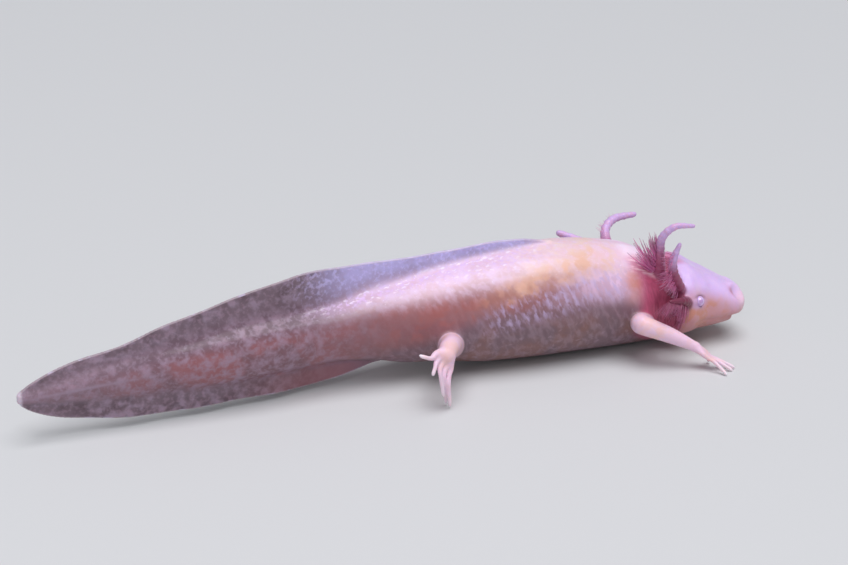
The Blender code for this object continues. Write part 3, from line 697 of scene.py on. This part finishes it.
overNeck = np.maximum(smoothStep(sideways, 3, 9), smoothStep(along, 8, 15))
besideNape = smoothStep(sideways, 4, 7)
offNape = smoothStep(sideways, 0.5, 3)
fromEye, fromNostril = np.full((2, len(points)), 99.0)
aboveEye = np.zeros(len(points))
for way in (1, -1):
    centre, _ = eyeCentre(way)
    away = np.linalg.norm((points - centre + (1.1, 0, 0)) * (0.78, 1, 1.3), axis=1)
    aboveEye = np.where(away < 6, z - centre[2] + 0.25 * (points[:, 0] - centre[0]), aboveEye)
    fromEye = np.minimum(fromEye, away)
    fromNostril = np.minimum(fromNostril, np.linalg.norm(points - nostrilCentre(way), axis=1))
masks = {
    "eyeGlow": (1 - smoothStep(fromEye, 2.1, 3.6)) * (1 - smoothStep(aboveEye, 0.6, 1.6)),
    # painted shadow of the brow above the eye
    "eyeCrease": band(fromEye, 1.9, 3.0, 0.45) * smoothStep(aboveEye, 0.7, 1.6),
    "rimDepth": np.where(z > middle, crest(along) - z, z - keel(along)),
    "rise": rise,
    "along": along / 100,
    "onTail": 1 - smoothStep(along, -112, -58),
    "onHead": onHead,
    "onCheek": onHead * (1 - smoothStep(rise, 0.15, 0.75)),
    "onSnout": onHead * smoothStep(along, 27, 42) * smoothStep(rise, -0.5, 0.3),
    "onNose": onHead * smoothStep(along, 37.5, 42),
    # under the jaw, where the darker colour is partly painted shade
    "underJaw": onHead * (1 - smoothStep(rise, -0.75, -0.1)),
    "nostrils": np.exp(-((fromNostril / nostril["colour"]) ** 2)),
    "onRidge": band(rise, 0.86, 1.12, 0.14) * band(along, -96, -30, 12),
    "goldBand": band(rise - goldLine, -0.2, 0.12, 0.13) * band(along, -46, -8, 9),
    "rustBand": band(rise, rustLow, 0.66, 0.18) * band(along, -88, -30, 12),
    "creamBand": band(rise, 0.62, 1.1, 0.2) * band(along, -36, -4, 10),
    "ribMarks": band(rise - patchLine, -0.24, 0.26, 0.14) * band(along, -48, 3, 6) * (0.65 + 0.35 * ribWave),
    "gillFlush": band(along, 0.8, 40, 2.6) * (1 - onHead) * band(neckHeight, 7, flushTop, 2.0) * overNeck,
    "gillDeep": band(along, 4.5, 40, 3.0) * (1 - onHead) * band(neckHeight, 8, deepTop, 4.0) * overNeck,
    "gillWarm": band(along, -3.5, 2.0, 2.2) * band(z, 19, 28, 2.5) * overNeck,
    "gillStreak": band(along, -1.5, 6.5, 1.6) * band(neckHeight, 27.4, 31.4, 0.7) * besideNape,
    "headBlush": onHead * band(side, -5, 9, 2) * smoothStep(z, 22, 24.5) * smoothStep(-along, -23.5, -18.5),
    # painted highlight on the top of the nape behind the gills
    "napeEdge": band(along, -2.0, 11.0, 2.0) * band(neckHeight, 31.4, 34.0, 0.7) * offNape,
    "onFin": np.maximum(topFin, lowFin),
    "sideLine": np.exp(-(((z - middle) / 0.5) ** 2)) * band(along, -179, -150, 10),
    "tailNub": 1 - smoothStep(along, -179.9, -179.0),
    "onLimb": onLimb,
    "onToes": np.where(toeAway < 1.0, smoothStep(toeShare, 0.45, 1.0), 0) * onLimb,
    "onStalk": onStalk,
    "stalkPale": stalkPale,
    "stalkMauve": stalkMauve,
}
for name, values in masks.items():
    addMask(skin.data, name, values)
print("masks")


# a node tree, with the names of its inputs and outputs for each kind of socket
def newTree(name, kind, inputs, outputs):
    tree = bpy.data.node_groups.new(name, kind)
    for way, sockets in (("INPUT", inputs), ("OUTPUT", outputs)):
        for socket, labels in sockets.items():
            for label in labels:
                tree.interface.new_socket(name=label, in_out=way, socket_type="NodeSocket" + socket)
    return tree, tree.nodes.new("NodeGroupInput").outputs, tree.nodes.new("NodeGroupOutput").inputs


# adds a node, sets its properties, and links or sets its inputs: fromMin is the socket "From Min"
def addNode(tree, kind, settings=None, **inputs):
    node = tree.nodes.new(kind)
    for key, value in (settings or {}).items():
        setattr(node, key, value)
    for key, value in inputs.items():
        numbered = key[2:].isdigit()
        socket = node.inputs[int(key[2:]) if numbered else re.sub("([A-Z])", r" \1", key).title()]
        if isinstance(value, bpy.types.NodeSocket):
            tree.links.new(value, socket)
        else:
            socket.default_value = value
    return node


def maths(tree, operation, *values):
    inputs = {f"in{i}": value for i, value in enumerate(values)}
    return addNode(tree, "ShaderNodeMath", {"operation": operation}, **inputs).outputs[0]


# the gill filaments, grown along each stalk
def makeFilamentTree():
    tree, given, result = newTree(
        "growFilaments", "GeometryNodeTree",
        {"Geometry": ["Stalk"], "Vector": ["Lean"], "Int": ["Count", "Seed"], "Material": ["Finish"],
         "Float": ["Length", "Slimness", "Start", "End", "Fan", "Sweep", "Shrink", "Curl", "Uneven", "Stray",
                   "Tips"]},
        {"Geometry": ["Filaments"]},
    )

    def node(kind, settings=None, **inputs):
        return addNode(tree, kind, settings, **inputs).outputs[0]

    def times(a, b):
        return maths(tree, "MULTIPLY", a, b)

    def minus(a, b):
        return maths(tree, "SUBTRACT", a, b)

    def vectors(operation, a, b):
        return node("ShaderNodeVectorMath", {"operation": operation}, in0=a, in1=b)

    def added(way, vector, factor):
        part = node("ShaderNodeVectorMath", {"operation": "SCALE"}, in0=vector, scale=factor)
        return vectors("ADD", way, part)

    def chance(low, high, offset):
        seed = maths(tree, "ADD", given["Seed"], offset)
        return addNode(tree, "FunctionNodeRandomValue", in2=low, in3=high, seed=seed).outputs[1]

    def stored(geometry, domain, name, value):
        return node("GeometryNodeStoreNamedAttribute", {"domain": domain}, geometry=geometry, name=name,
                    value=value)

    # places along the stalk, turned to one side and the other in turn
    stalk = node("GeometryNodeMeshToCurve", mesh=given["Stalk"])
    stalk = node("GeometryNodeTrimCurve", curve=stalk, start=given["Start"], end=given["End"])
    places = node("GeometryNodeCurveToPoints", curve=stalk, count=given["Count"])
    tangent = places.node.outputs["Tangent"]
    index = node("GeometryNodeInputIndex")
    share = maths(tree, "DIVIDE", index, given["Count"])
    leftOrRight = minus(times(maths(tree, "MODULO", index, 2.0), 2.0), 1.0)
    turn = times(leftOrRight, times(given["Fan"], chance(*filaments["fanRange"], 1)))
    way = added(given["Lean"], vectors("CROSS_PRODUCT", tangent, given["Lean"]), turn)
    way = added(way, tangent, times(share, given["Sweep"]))
    anyWay = {axis: chance(-0.5, 0.5, offset) for axis, offset in zip("xyz", (4, 5, 6))}
    stray = node("ShaderNodeCombineXYZ", **anyWay)
    way = added(way, stray, given["Stray"])
    facing = node("FunctionNodeAlignRotationToVector", {"axis": "Z"}, vector=way)
    hang = node("FunctionNodeAlignRotationToVector", {"axis": "X", "pivot_axis": "Z"}, rotation=facing,
                vector=filaments["hang"])
    size = times(given["Length"], chance(*filaments["sizeRange"], 2))
    size = times(size, minus(1.0, times(share, given["Shrink"])))
    dip = minus(1.0, maths(tree, "COSINE", times(share, 4 * math.pi)))
    size = times(size, minus(1.0, times(dip, times(given["Uneven"], 0.5))))

    # one filament, bent and tapered
    line = node("GeometryNodeCurvePrimitiveLine", start=(0, 0, 0), end=(0, 0, 1))
    line = node("GeometryNodeResampleCurve", curve=line, count=filaments["rings"])
    tip = node("GeometryNodeSplineParameter")
    line = stored(line, "POINT", "tipShare", tip)
    bent = node("ShaderNodeCombineXYZ", x=times(times(tip, tip), given["Curl"]))
    line = node("GeometryNodeSetPosition", geometry=line, offset=bent)
    taper = times(given["Slimness"], minus(1.0, times(tip, filaments["taper"])))
    ring = node("GeometryNodeCurvePrimitiveCircle", resolution=filaments["sides"], radius=1.0)
    hair = node("GeometryNodeCurveToMesh", curve=line, profileCurve=ring, scale=taper, fillCaps=True)

    grown = node("GeometryNodeInstanceOnPoints", points=places, instance=hair, rotation=hang, scale=size)
    grown = stored(grown, "INSTANCE", "tone", chance(0.0, 1.0, 3))
    grown = stored(grown, "INSTANCE", "paleTips", given["Tips"])
    whole = node("GeometryNodeSetShadeSmooth", geometry=node("GeometryNodeRealizeInstances", geometry=grown))
    whole = node("GeometryNodeSetMaterial", geometry=whole, material=given["Finish"])
    tree.links.new(whole, result[0])
    return tree


filaments = {"slimness": 0.02, "uneven": 0.3, "stray": 0.4, "fanRange": (0.15, 1.15),
             "sizeRange": (0.6, 1.12), "hang": (-0.4, 0.0, -1.0), "taper": 0.72, "rings": 6, "sides": 5}


def newMaterial(name, roughness, constants=None):
    finish = bpy.data.materials.new(name)
    finish.use_nodes = True
    shader = finish.node_tree.nodes["Principled BSDF"]
    shader.inputs["Roughness"].default_value = roughness
    for label, value in (constants or {}).items():
        shader.inputs[label].default_value = value
    return finish, shader


# spots or streaks of a size, in metres, as a mask with soft edges
def makeSpotsGroup():
    tree, given, result = newTree(
        "fleshSpots", "ShaderNodeTree",
        {"Vector": ["Place"], "Float": ["Size", "Low", "High", "Wander"]}, {"Float": ["Spots"]},
    )
    scale = maths(tree, "DIVIDE", 1.0, given["Size"])
    noise = addNode(tree, "ShaderNodeTexNoise", vector=given["Place"], scale=scale, detail=3.0,
                    distortion=given["Wander"])
    spots = addNode(tree, "ShaderNodeMapRange", {"interpolation_type": "SMOOTHSTEP"},
                    value=noise.outputs["Fac"], fromMin=given["Low"], fromMax=given["High"])
    tree.links.new(spots.outputs["Result"], result[0])
    return tree


# fine pores and soft dimples of wet flesh, as a normal, with a roughness that changes a little
def makeWetGroup():
    tree, given, result = newTree(
        "wetFlesh", "ShaderNodeTree",
        {"Vector": ["Place"], "Float": ["Pore", "Dimple", "Depth", "Dry", "Wet"]},
        {"Vector": ["Normal"], "Float": ["Roughness"]},
    )

    def noise(size, detail):
        scale = maths(tree, "DIVIDE", 1.0, size)
        return addNode(tree, "ShaderNodeTexNoise", vector=given["Place"], scale=scale,
                       detail=detail).outputs["Fac"]

    dimples = noise(given["Dimple"], 2.0)
    height = maths(tree, "ADD", maths(tree, "MULTIPLY", noise(given["Pore"], 3.0), 0.35), dimples)
    bump = addNode(tree, "ShaderNodeBump", strength=1.0, distance=given["Depth"], height=height)
    shine = addNode(tree, "ShaderNodeMapRange", value=dimples, fromMin=0.35, fromMax=0.65, toMin=given["Wet"],
                    toMax=given["Dry"])
    tree.links.new(bump.outputs["Normal"], result[0])
    tree.links.new(shine.outputs["Result"], result[1])
    return tree


spotsGroup = makeSpotsGroup()
wetGroup = makeWetGroup()


# a material whose colour is laid on coat by coat. A coat is a colour and its shares, which are
# multiplied: a pattern or mask by name, a ramp (name, low, high, start, end), or a number
def paintedMaterial(name, roughness, constants, colours, patterns, coats, wet=None):
    finish, shader = newMaterial(name, roughness, constants)
    tree = finish.node_tree
    place = addNode(tree, "ShaderNodeTexCoord").outputs["Object"]
    known = {}

    # a pattern: size in metres, where its soft edge starts and ends, wander, turn and stretch
    def spots(size, low, high, wander=0.6, turn=None, stretch=1.0):
        where = place
        if turn is not None:
            where = addNode(tree, "ShaderNodeMapping", {"vector_type": "TEXTURE"}, vector=place,
                            rotation=(0, math.radians(turn), 0), scale=(1.0, 1.0, stretch)).outputs[0]
        return addNode(tree, "ShaderNodeGroup", {"node_tree": spotsGroup}, place=where, size=size, low=low,
                       high=high, wander=wander).outputs[0]

    def ramp(source, low, high, start=0.0, end=1.0):
        return addNode(tree, "ShaderNodeMapRange", {"interpolation_type": "SMOOTHSTEP"}, value=share(source),
                       fromMin=low, fromMax=high, toMin=start, toMax=end).outputs["Result"]

    def share(what):
        if isinstance(what, tuple):
            return ramp(*what)
        if isinstance(what, str) and what not in known:
            if what in patterns:
                known[what] = spots(*patterns[what])
            else:
                mask = addNode(tree, "ShaderNodeAttribute", {"attribute_name": what})
                known[what] = mask.outputs["Fac"]
        return known.get(what, what)

    colour = addNode(tree, "ShaderNodeRGB").outputs[0]
    colour.default_value = (*colours[coats[0]], 1)
    for label, first, *others in coats[1:]:
        factor = share(first)
        for other in others:
            factor = maths(tree, "MULTIPLY", factor, share(other))
        colour = addNode(tree, "ShaderNodeMix", {"data_type": "RGBA"}, in0=factor, in6=colour,
                         in7=(*colours[label], 1)).outputs[2]
    tree.links.new(colour, shader.inputs["Base Color"])
    if wet:
        flesh = addNode(tree, "ShaderNodeGroup", {"node_tree": wetGroup}, place=place, **wet)
        for label in ("Normal", "Roughness"):
            tree.links.new(flesh.outputs[label], shader.inputs[label])
    return finish


skinConstants = {
    "Subsurface Weight": 0.2, "Subsurface Radius": (1.0, 0.5, 0.45), "Subsurface Scale": 0.0014,
    "Coat Weight": 0.22, "Coat Roughness": 0.12, "IOR": 1.36, "Specular IOR Level": 0.35,
}
skinWet = {"pore": 0.0009, "dimple": 0.0035, "depth": 0.00014, "dry": 0.5, "wet": 0.32}
skinColours = {
    # the lower and middle flank colours are darkened in part as painted shade, and the pale back white is
    # partly painted highlight
    "lower": (0.2, 0.125, 0.15), "lowerWarm": (0.25, 0.13, 0.125), "fleck": (0.38, 0.26, 0.32),
    "middle": (0.36, 0.17, 0.18), "middleDark": (0.25, 0.14, 0.18), "back": (0.74, 0.5, 0.58),
    "backWhite": (0.82, 0.62, 0.84), "shoulder": (0.82, 0.56, 0.78), "rust": (0.4, 0.14, 0.135),
    "cream": (0.84, 0.62, 0.54), "gold": (0.78, 0.46, 0.36), "goldDeep": (0.4, 0.15, 0.12),
    # the near-white speck colour is painted highlight
    "speck": (0.95, 0.85, 0.98), "mark": (0.6, 0.46, 0.72), "ridge": (0.72, 0.5, 0.8),
    # the tail colours are darkened in part as painted shadow, and the tail top colour is painted shade
    "tail": (0.21, 0.105, 0.13), "tailRosy": (0.33, 0.125, 0.14), "tailBlotch": (0.36, 0.24, 0.32),
    "tailEnd": (0.25, 0.165, 0.21), "tailTop": (0.15, 0.085, 0.115), "fin": (0.19, 0.13, 0.165),
    "finDark": (0.11, 0.07, 0.09), "finBlotch": (0.33, 0.24, 0.32), "finPale": (0.5, 0.44, 0.76),
    # the rim colours make the fin's edge paler as painted rim highlight
    "finSpeck": (0.64, 0.58, 0.98), "rim": (0.42, 0.34, 0.38), "rimPale": (0.66, 0.58, 0.8),
    "tailNub": (0.6, 0.5, 0.6), "headTop": (0.68, 0.48, 0.84), "cheek": (0.62, 0.275, 0.215),
    "snout": (0.78, 0.56, 0.88), "nose": (0.84, 0.6, 0.62), "jaw": (0.46, 0.2, 0.2),
    # the eye crease colour is painted shadow under the brow
    "nostril": (0.54, 0.18, 0.26), "eyeGlow": (0.6, 0.38, 0.62), "eyeCrease": (0.36, 0.2, 0.3),
    "flush": (0.64, 0.13, 0.25), "flushDeep": (0.26, 0.042, 0.085), "streak": (0.95, 0.66, 0.76),
    # the nape edge colour is painted highlight
    "gillWarm": (0.7, 0.3, 0.26), "napeEdge": (0.93, 0.75, 0.9), "leg": (0.84, 0.58, 0.74),
    "legWarm": (0.84, 0.52, 0.46), "toes": (0.9, 0.76, 0.84), "stalk": (0.17, 0.03, 0.06),
    "stalkMauve": (0.46, 0.12, 0.24), "stalkPale": (0.62, 0.42, 0.74), "stalkRosy": (0.7, 0.4, 0.6),
}
skinPatterns = {
    "clouds": (0.0045, 0.4, 0.66, 0.3), "cloudsWide": (0.011, 0.4, 0.64, 0.4),
    "fine": (0.0012, 0.46, 0.66, 0.2), "flecks": (0.0024, 0.56, 0.7, 0.2),
    "veil": (0.0017, 0.42, 0.66, 0.0, -25, 2.4), "ribDashes": (0.0011, 0.4, 0.62, 0.0, -25, 2.4),
    "goldPatches": (0.007, 0.34, 0.72, 0.0), "tailBlotches": (0.003, 0.41, 0.72, 0.2),
    # the ridge dash and glint patterns place painted highlights
    "ridgeDashes": (0.0011, 0.55, 0.72, 0.0, 80, 2.0), "finClouds": (0.006, 0.42, 0.68, 0.0),
    "finBlotches": (0.0028, 0.41, 0.7, 0.2), "rimMarks": (0.003, 0.5, 0.68, 0.0),
    "hairs": (0.0007, 0.38, 0.62, 0.3, -8, 7.0), "streaks": (0.0009, 0.4, 0.6, 0.3, 112, 5.0),
    "toeSpots": (0.0012, 0.62, 0.7), "glints": (0.0005, 0.66, 0.74, 0.0),
}
skinCoats = (
    # flank, from the belly up to the back: darker towards the belly, partly as painted shade, and paler on
    # the back, partly as painted highlight
    "lower",
    ("lowerWarm", "cloudsWide"),
    ("fleck", "flecks", 0.45),
    ("middleDark", ("rise", -0.3, 0.1, 0.0, 0.8)),
    ("middle", ("rise", 0.0, 0.5), ("clouds", 0.0, 1.0, 0.65, 1.0)),
    ("fleck", "veil", ("rise", 0.5, 0.1, 0.0, 0.4)),
    ("rust", "rustBand", ("clouds", 0.0, 1.0, 0.5, 0.9)),
    ("back", ("rise", 0.42, 0.86)),
    ("shoulder", ("along", -0.36, -0.06), ("rise", 0.0, 0.4), ("veil", 0.0, 1.0, 0.7, 0.95)),
    # pale clouds high on the back, partly painted highlight
    ("backWhite", "clouds", ("rise", 0.5, 0.9, 0.0, 0.7)),
    ("cream", "creamBand", ("clouds", 0.0, 1.0, 0.35, 0.9)),
    ("backWhite", "veil", ("rise", 0.3, 0.8, 0.0, 0.45)),
    ("gold", "goldBand", ("clouds", 0.0, 0.8, 0.35, 0.95)),
    ("goldDeep", "goldBand", "goldPatches", ("rise", 0.85, 0.5, 0.0, 0.75)),
    ("mark", "ribMarks", "ribDashes", 0.7),
    # tail: its colours darkened in part as painted shadow, and its top darker still as painted shade
    ("tail", "onTail", ("rise", 0.95, 0.55, 0.72, 1.0)),
    ("tailRosy", "onTail", "cloudsWide", ("rise", 0.9, 0.2, 0.0, 0.85)),
    # painted shade on the top of the tail
    ("tailTop", ("along", -0.8, -1.05), ("rise", 0.4, 0.9)),
    ("tailEnd", ("along", -1.3, -1.72), ("clouds", 0.0, 1.0, 0.6, 0.9)),
    ("tailBlotch", "onTail", "tailBlotches", ("along", -0.6, -1.1, 0.3, 0.85)),
    ("finBlotch", "onTail", "fine", ("along", -0.6, -1.1, 0.1, 0.5)),
    ("ridge", "onRidge", ("fine", 0.0, 1.0, 0.35, 0.9)),
    # painted glints along the ridge
    ("speck", "onRidge", "ridgeDashes", 0.8),
    # fins: their dark base colour is partly painted shade
    ("fin", "onFin"),
    ("finPale", "onFin", ("along", -1.03, -0.86), ("rise", -0.5, 0.5, 0.2, 1.0)),
    ("finDark", "onFin", "finClouds", ("along", -0.85, -1.1, 0.0, 0.8)),
    ("finBlotch", "onFin", "finBlotches", ("along", -0.8, -1.1, 0.3, 0.9)),
    ("tailBlotch", "onFin", "fine", ("along", -0.8, -1.1, 0.1, 0.4)),
    ("tailRosy", "onFin", ("along", -1.3, -0.9), ("rise", 0.0, -0.7, 0.0, 0.7)),
    ("finSpeck", "onFin", "fine", ("rise", -0.5, 0.5), ("along", -1.1, -0.9, 0.0, 0.6)),
    ("finBlotch", "sideLine", 0.8),
    # the fin's pale edge is painted rim highlight
    ("rim", "onFin", ("rimDepth", 0.6, 0.3), 0.6),
    ("rimPale", "onFin", ("rimDepth", 0.6, 0.3), ("rimMarks", 0.0, 1.0, 0.0, 0.5)),
    ("rimPale", "onFin", ("rimDepth", 0.6, 0.3), ("along", -1.0, -0.8, 0.0, 0.5)),
    ("tailNub", "tailNub"),
    # head: lavender on top, partly the tint of bluish light painted in, and darker under the jaw, partly as
    # painted shade
    ("headTop", "onHead"),
    ("backWhite", "onHead", "clouds", 0.35),
    ("cheek", "onCheek", ("clouds", 0.0, 1.0, 0.8, 1.0)),
    # darker jaw beneath, partly painted shade
    ("jaw", "underJaw", 0.7),
    ("snout", "onSnout", 0.75),
    ("nose", "onNose", 0.6),
    ("nostril", "nostrils", 0.85),
    ("flush", "headBlush", 0.7),
    ("eyeGlow", "eyeGlow", 0.85),
    # painted shadow of the brow above the eye
    ("eyeCrease", "eyeCrease", 0.7),
    # neck behind the gills
    ("gillWarm", "gillWarm", ("clouds", 0.0, 1.0, 0.6, 0.95)),
    ("flush", "gillFlush"),
    ("flushDeep", "gillDeep", ("hairs", 0.0, 1.0, 0.62, 0.92)),
    ("flushDeep", "gillFlush", "hairs", 0.2),
    ("flush", "gillStreak", 0.5),
    ("streak", "gillStreak", "streaks", 0.9),
    # painted highlight along the top of the nape
    ("napeEdge", "napeEdge", 0.8),
    # legs and gill stalks
    ("leg", "onLimb"),
    ("legWarm", "onLimb", "clouds", 0.7),
    ("toes", "onToes"),
    ("mark", "onToes", "toeSpots", 0.7),
    ("stalk", "onStalk"),
    ("stalkMauve", "onStalk", "stalkMauve", 0.85),
    ("stalkPale", "onStalk", "stalkPale"),
    ("stalkRosy", "onStalk", "stalkPale", "fine", 0.8),
    # painted highlights: glints on the back
    ("speck", "glints", ("rise", 0.5, 0.8, 0.0, 0.6), ("along", -0.95, -0.7), ("onHead", 0.6, 0.0),
     ("gillFlush", 0.3, 0.0)),
)
skin.data.materials.clear()
skin.data.materials.append(
    paintedMaterial("axolotlSkin", 0.3, skinConstants, skinColours, skinPatterns, skinCoats, skinWet))
print("skin finish")

gillConstants = {"Subsurface Weight": 0.15, "Subsurface Radius": (1.0, 0.3, 0.3),
                 "Subsurface Scale": 0.0006, "Coat Weight": 0.2, "Coat Roughness": 0.2}
gillColours = {"root": (0.34, 0.05, 0.115), "middle": (0.5, 0.12, 0.25), "tip": (0.5, 0.36, 0.44),
               "dark": (0.17, 0.028, 0.06), "mauve": (0.8, 0.24, 0.52)}
gillCoats = (
    "root",
    ("middle", ("tipShare", 0.1, 0.6)),
    ("dark", ("paleTips", 0.1, 0.6, 0.55, 0.0)),
    ("dark", "blotches", ("paleTips", 0.2, 0.9, 0.5, 0.1)),
    ("mauve", "paleTips", ("tipShare", 0.0, 0.4, 0.5, 0.95)),
    ("tip", "paleTips", ("tipShare", 0.7, 1.0, 0.0, 0.9)),
    ("mauve", ("tone", 0.6, 1.0, 0.0, 0.5), ("tipShare", 0.3, 1.0)),
)
gillWet = {"pore": 0.0004, "dimple": 0.001, "depth": 0.00006, "dry": 0.5, "wet": 0.3}
gillFinish = paintedMaterial("gillFilament", 0.35, gillConstants, gillColours,
                             {"blotches": (0.0016, 0.45, 0.65)}, gillCoats, gillWet)

filamentTree = makeFilamentTree()
filamentPieces = []
for seed, (name, gill) in enumerate(gills.items(), 1):
    chain = stalkChains[name]
    links = [(i, i + 1) for i in range(len(chain) - 1)]
    piece = newPiece("filaments_" + name, placed(chain[:, :3]).tolist(), links, [])
    grow = piece.modifiers.new("grow", "NODES")
    grow.node_group = filamentTree
    start, end = gill["span"]
    lean = unit(np.array(gill["lean"])).tolist()
    values = {**filaments, **gill, "length": gill["length"] * mm, "lean": lean, "start": start, "end": end,
              "seed": seed, "finish": gillFinish}
    for item in filamentTree.interface.items_tree:
        if item.in_out == "INPUT" and item.name != "Stalk":
            grow[item.identifier] = values[item.name.lower()]
    applied(piece)
    filamentPieces.append(piece)
    print(piece.name, len(piece.data.polygons), "faces")

# eyes: lidless balls with a clear swelling over the pupil

eyeShape = {"rings": 26, "sides": 40, "cornea": 0.05, "corneaAngle": 34.0, "corneaEdge": 1.4,
            "gaze": (0.12, 0, 0.16)}
eyeColours = {"white": (0.6, 0.38, 0.64), "iris": (0.62, 0.4, 0.74), "fleck": (0.76, 0.56, 0.88),
              "pupil": (0.52, 0.3, 0.58)}


def makeEye(side):
    centre, outwards = eyeCentre(side)
    centre = centre + outwards * eye["bulge"]
    outwards = unit(outwards + eyeShape["gaze"])
    across = unit(np.cross(outwards, (0, 0, 1)))
    upwards = np.cross(across, outwards)
    rings, sides = eyeShape["rings"], eyeShape["sides"]
    angles = np.repeat(math.pi * np.arange(1, rings) / rings, sides)[:, None]
    turns = np.tile(2 * math.pi * np.arange(sides) / sides, rings - 1)[:, None]
    swelling = np.exp(-((np.degrees(angles) / eyeShape["corneaAngle"]) ** 2) * eyeShape["corneaEdge"])
    flat = across * np.cos(turns) + upwards * np.sin(turns)
    reach = eye["radius"] * (1 + eyeShape["cornea"] * swelling)
    front = centre + outwards * eye["radius"] * (1 + eyeShape["cornea"])
    around = centre + (outwards * np.cos(angles) + flat * np.sin(angles)) * reach
    spots = np.vstack((front, around, centre - outwards * eye["radius"]))
    gaze = [0.0, *np.degrees(angles[:, 0]) / 90, 2.0]
    faces = [(0, 1 + k, 1 + (k + 1) % sides) for k in range(sides)]
    for i in range(rings - 2):
        a, b = 1 + i * sides, 1 + (i + 1) * sides
        faces += [(a + k, b + k, b + (k + 1) % sides, a + (k + 1) % sides) for k in range(sides)]
    a = 1 + (rings - 2) * sides
    faces += [(a + k, len(spots) - 1, a + (k + 1) % sides) for k in range(sides)]
    piece = newPiece("eyeball_left" if side > 0 else "eyeball_right", placed(spots).tolist(), [], faces)
    addMask(piece.data, "gaze", gaze)
    piece.data.materials.append(eyeFinish)
    return piece


eyeConstants = {"Subsurface Weight": 0.1, "Subsurface Radius": (1.0, 0.4, 0.5),
                "Subsurface Scale": 0.0005, "Coat Weight": 1.0, "Coat Roughness": 0.03}
eyeCoats = (
    "white",
    ("iris", ("gaze", 0.75, 0.6)),
    ("fleck", ("gaze", 0.7, 0.4), "flecks", 0.6),
    ("pupil", ("gaze", 0.3, 0.2, 0.0, 0.85)),
)
eyeFinish = paintedMaterial("eyeball", 0.12, eyeConstants, eyeColours, {"flecks": (0.0003, 0.4, 0.6)},
                            eyeCoats)
eyeballs = {side: makeEye(side) for side in (1, -1)}
print("eyes")

# camera, floor and light

cameraSizes = {"place": (-216.8, -352.5, 169.0), "azimuth": -23.4, "elevation": 20.0, "lens": 60.0,
               "sensor": 36.0, "nearest": 0.01}
azimuth, elevation = math.radians(cameraSizes["azimuth"]), math.radians(cameraSizes["elevation"])
back = Vector((math.sin(azimuth) * math.cos(elevation), -math.cos(azimuth) * math.cos(elevation),
               math.sin(elevation)))
camera = addObject("camera", bpy.data.cameras.new("camera"))
camera.data.lens = cameraSizes["lens"]
camera.data.sensor_width = cameraSizes["sensor"]
camera.data.clip_start = cameraSizes["nearest"]
camera.location = Vector(placed(cameraSizes["place"]).tolist())
camera.rotation_euler = back.to_track_quat("Z", "Y").to_euler()
bpy.context.scene.camera = camera

studio = {"floorReach": 3.0, "floorColour": (0.62, 0.62, 0.63, 1), "floorRoughness": 0.6,
          "air": (0.8, 0.85, 0.9, 1), "airStrength": 0.32}
reach = studio["floorReach"]
floorCorners = [(-reach, -reach, 0), (reach, -reach, 0), (reach, reach, 0), (-reach, reach, 0)]
floor = newPiece("floor", floorCorners, [], [(0, 1, 2, 3)])
floorFinish, floorShader = newMaterial("paleFloor", studio["floorRoughness"])
floorShader.inputs["Base Color"].default_value = studio["floorColour"]
floor.data.materials.append(floorFinish)
floor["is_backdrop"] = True

lights = {
    "top": {"way": (0.05, -0.22, 1.0), "angle": 50, "strength": 2.5, "colour": (0.97, 0.97, 1.0)},
    "front": {"place": (-0.5, -0.7, 0.5), "size": 0.4, "strength": 1.2, "colour": (1.0, 0.97, 0.94)},
    "sparkle": {"place": (-0.1, -0.6, 0.75), "size": 0.08, "strength": 0.5, "colour": (0.96, 0.96, 1.0)},
}
lightTarget = Vector((0, 0, 0.02))
for name, light in lights.items():
    lamp = addObject(name, bpy.data.lights.new(name, "SUN" if "way" in light else "AREA"))
    lamp.data.energy = light["strength"]
    lamp.data.color = light["colour"]
    if "way" in light:
        lamp.data.angle = math.radians(light["angle"])
        way = Vector(light["way"])
    else:
        lamp.data.shape = "DISK"
        lamp.data.size = light["size"]
        lamp.location = Vector(light["place"])
        way = lamp.location - lightTarget
    lamp.rotation_euler = way.to_track_quat("Z", "Y").to_euler()
bpy.context.scene.view_settings.view_transform = "Standard"
world = bpy.data.worlds.new("studio")
world.use_nodes = True
background = world.node_tree.nodes["Background"].inputs
background["Color"].default_value = studio["air"]
background["Strength"].default_value = studio["airStrength"]
bpy.context.scene.world = world

# what rides and what it stands for

flesh = [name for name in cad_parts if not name.startswith("eye")]
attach(skin, "root")
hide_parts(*flesh)
for piece in filamentPieces:
    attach(piece, "root")
for side, piece in eyeballs.items():
    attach(piece, "root")
    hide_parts("eye_left" if side > 0 else "eye_right")

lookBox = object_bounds()
for label, box in (("solids", cadBox), ("visual", lookBox)):
    print(label, [round(value / mm, 1) for corner in box for value in corner])
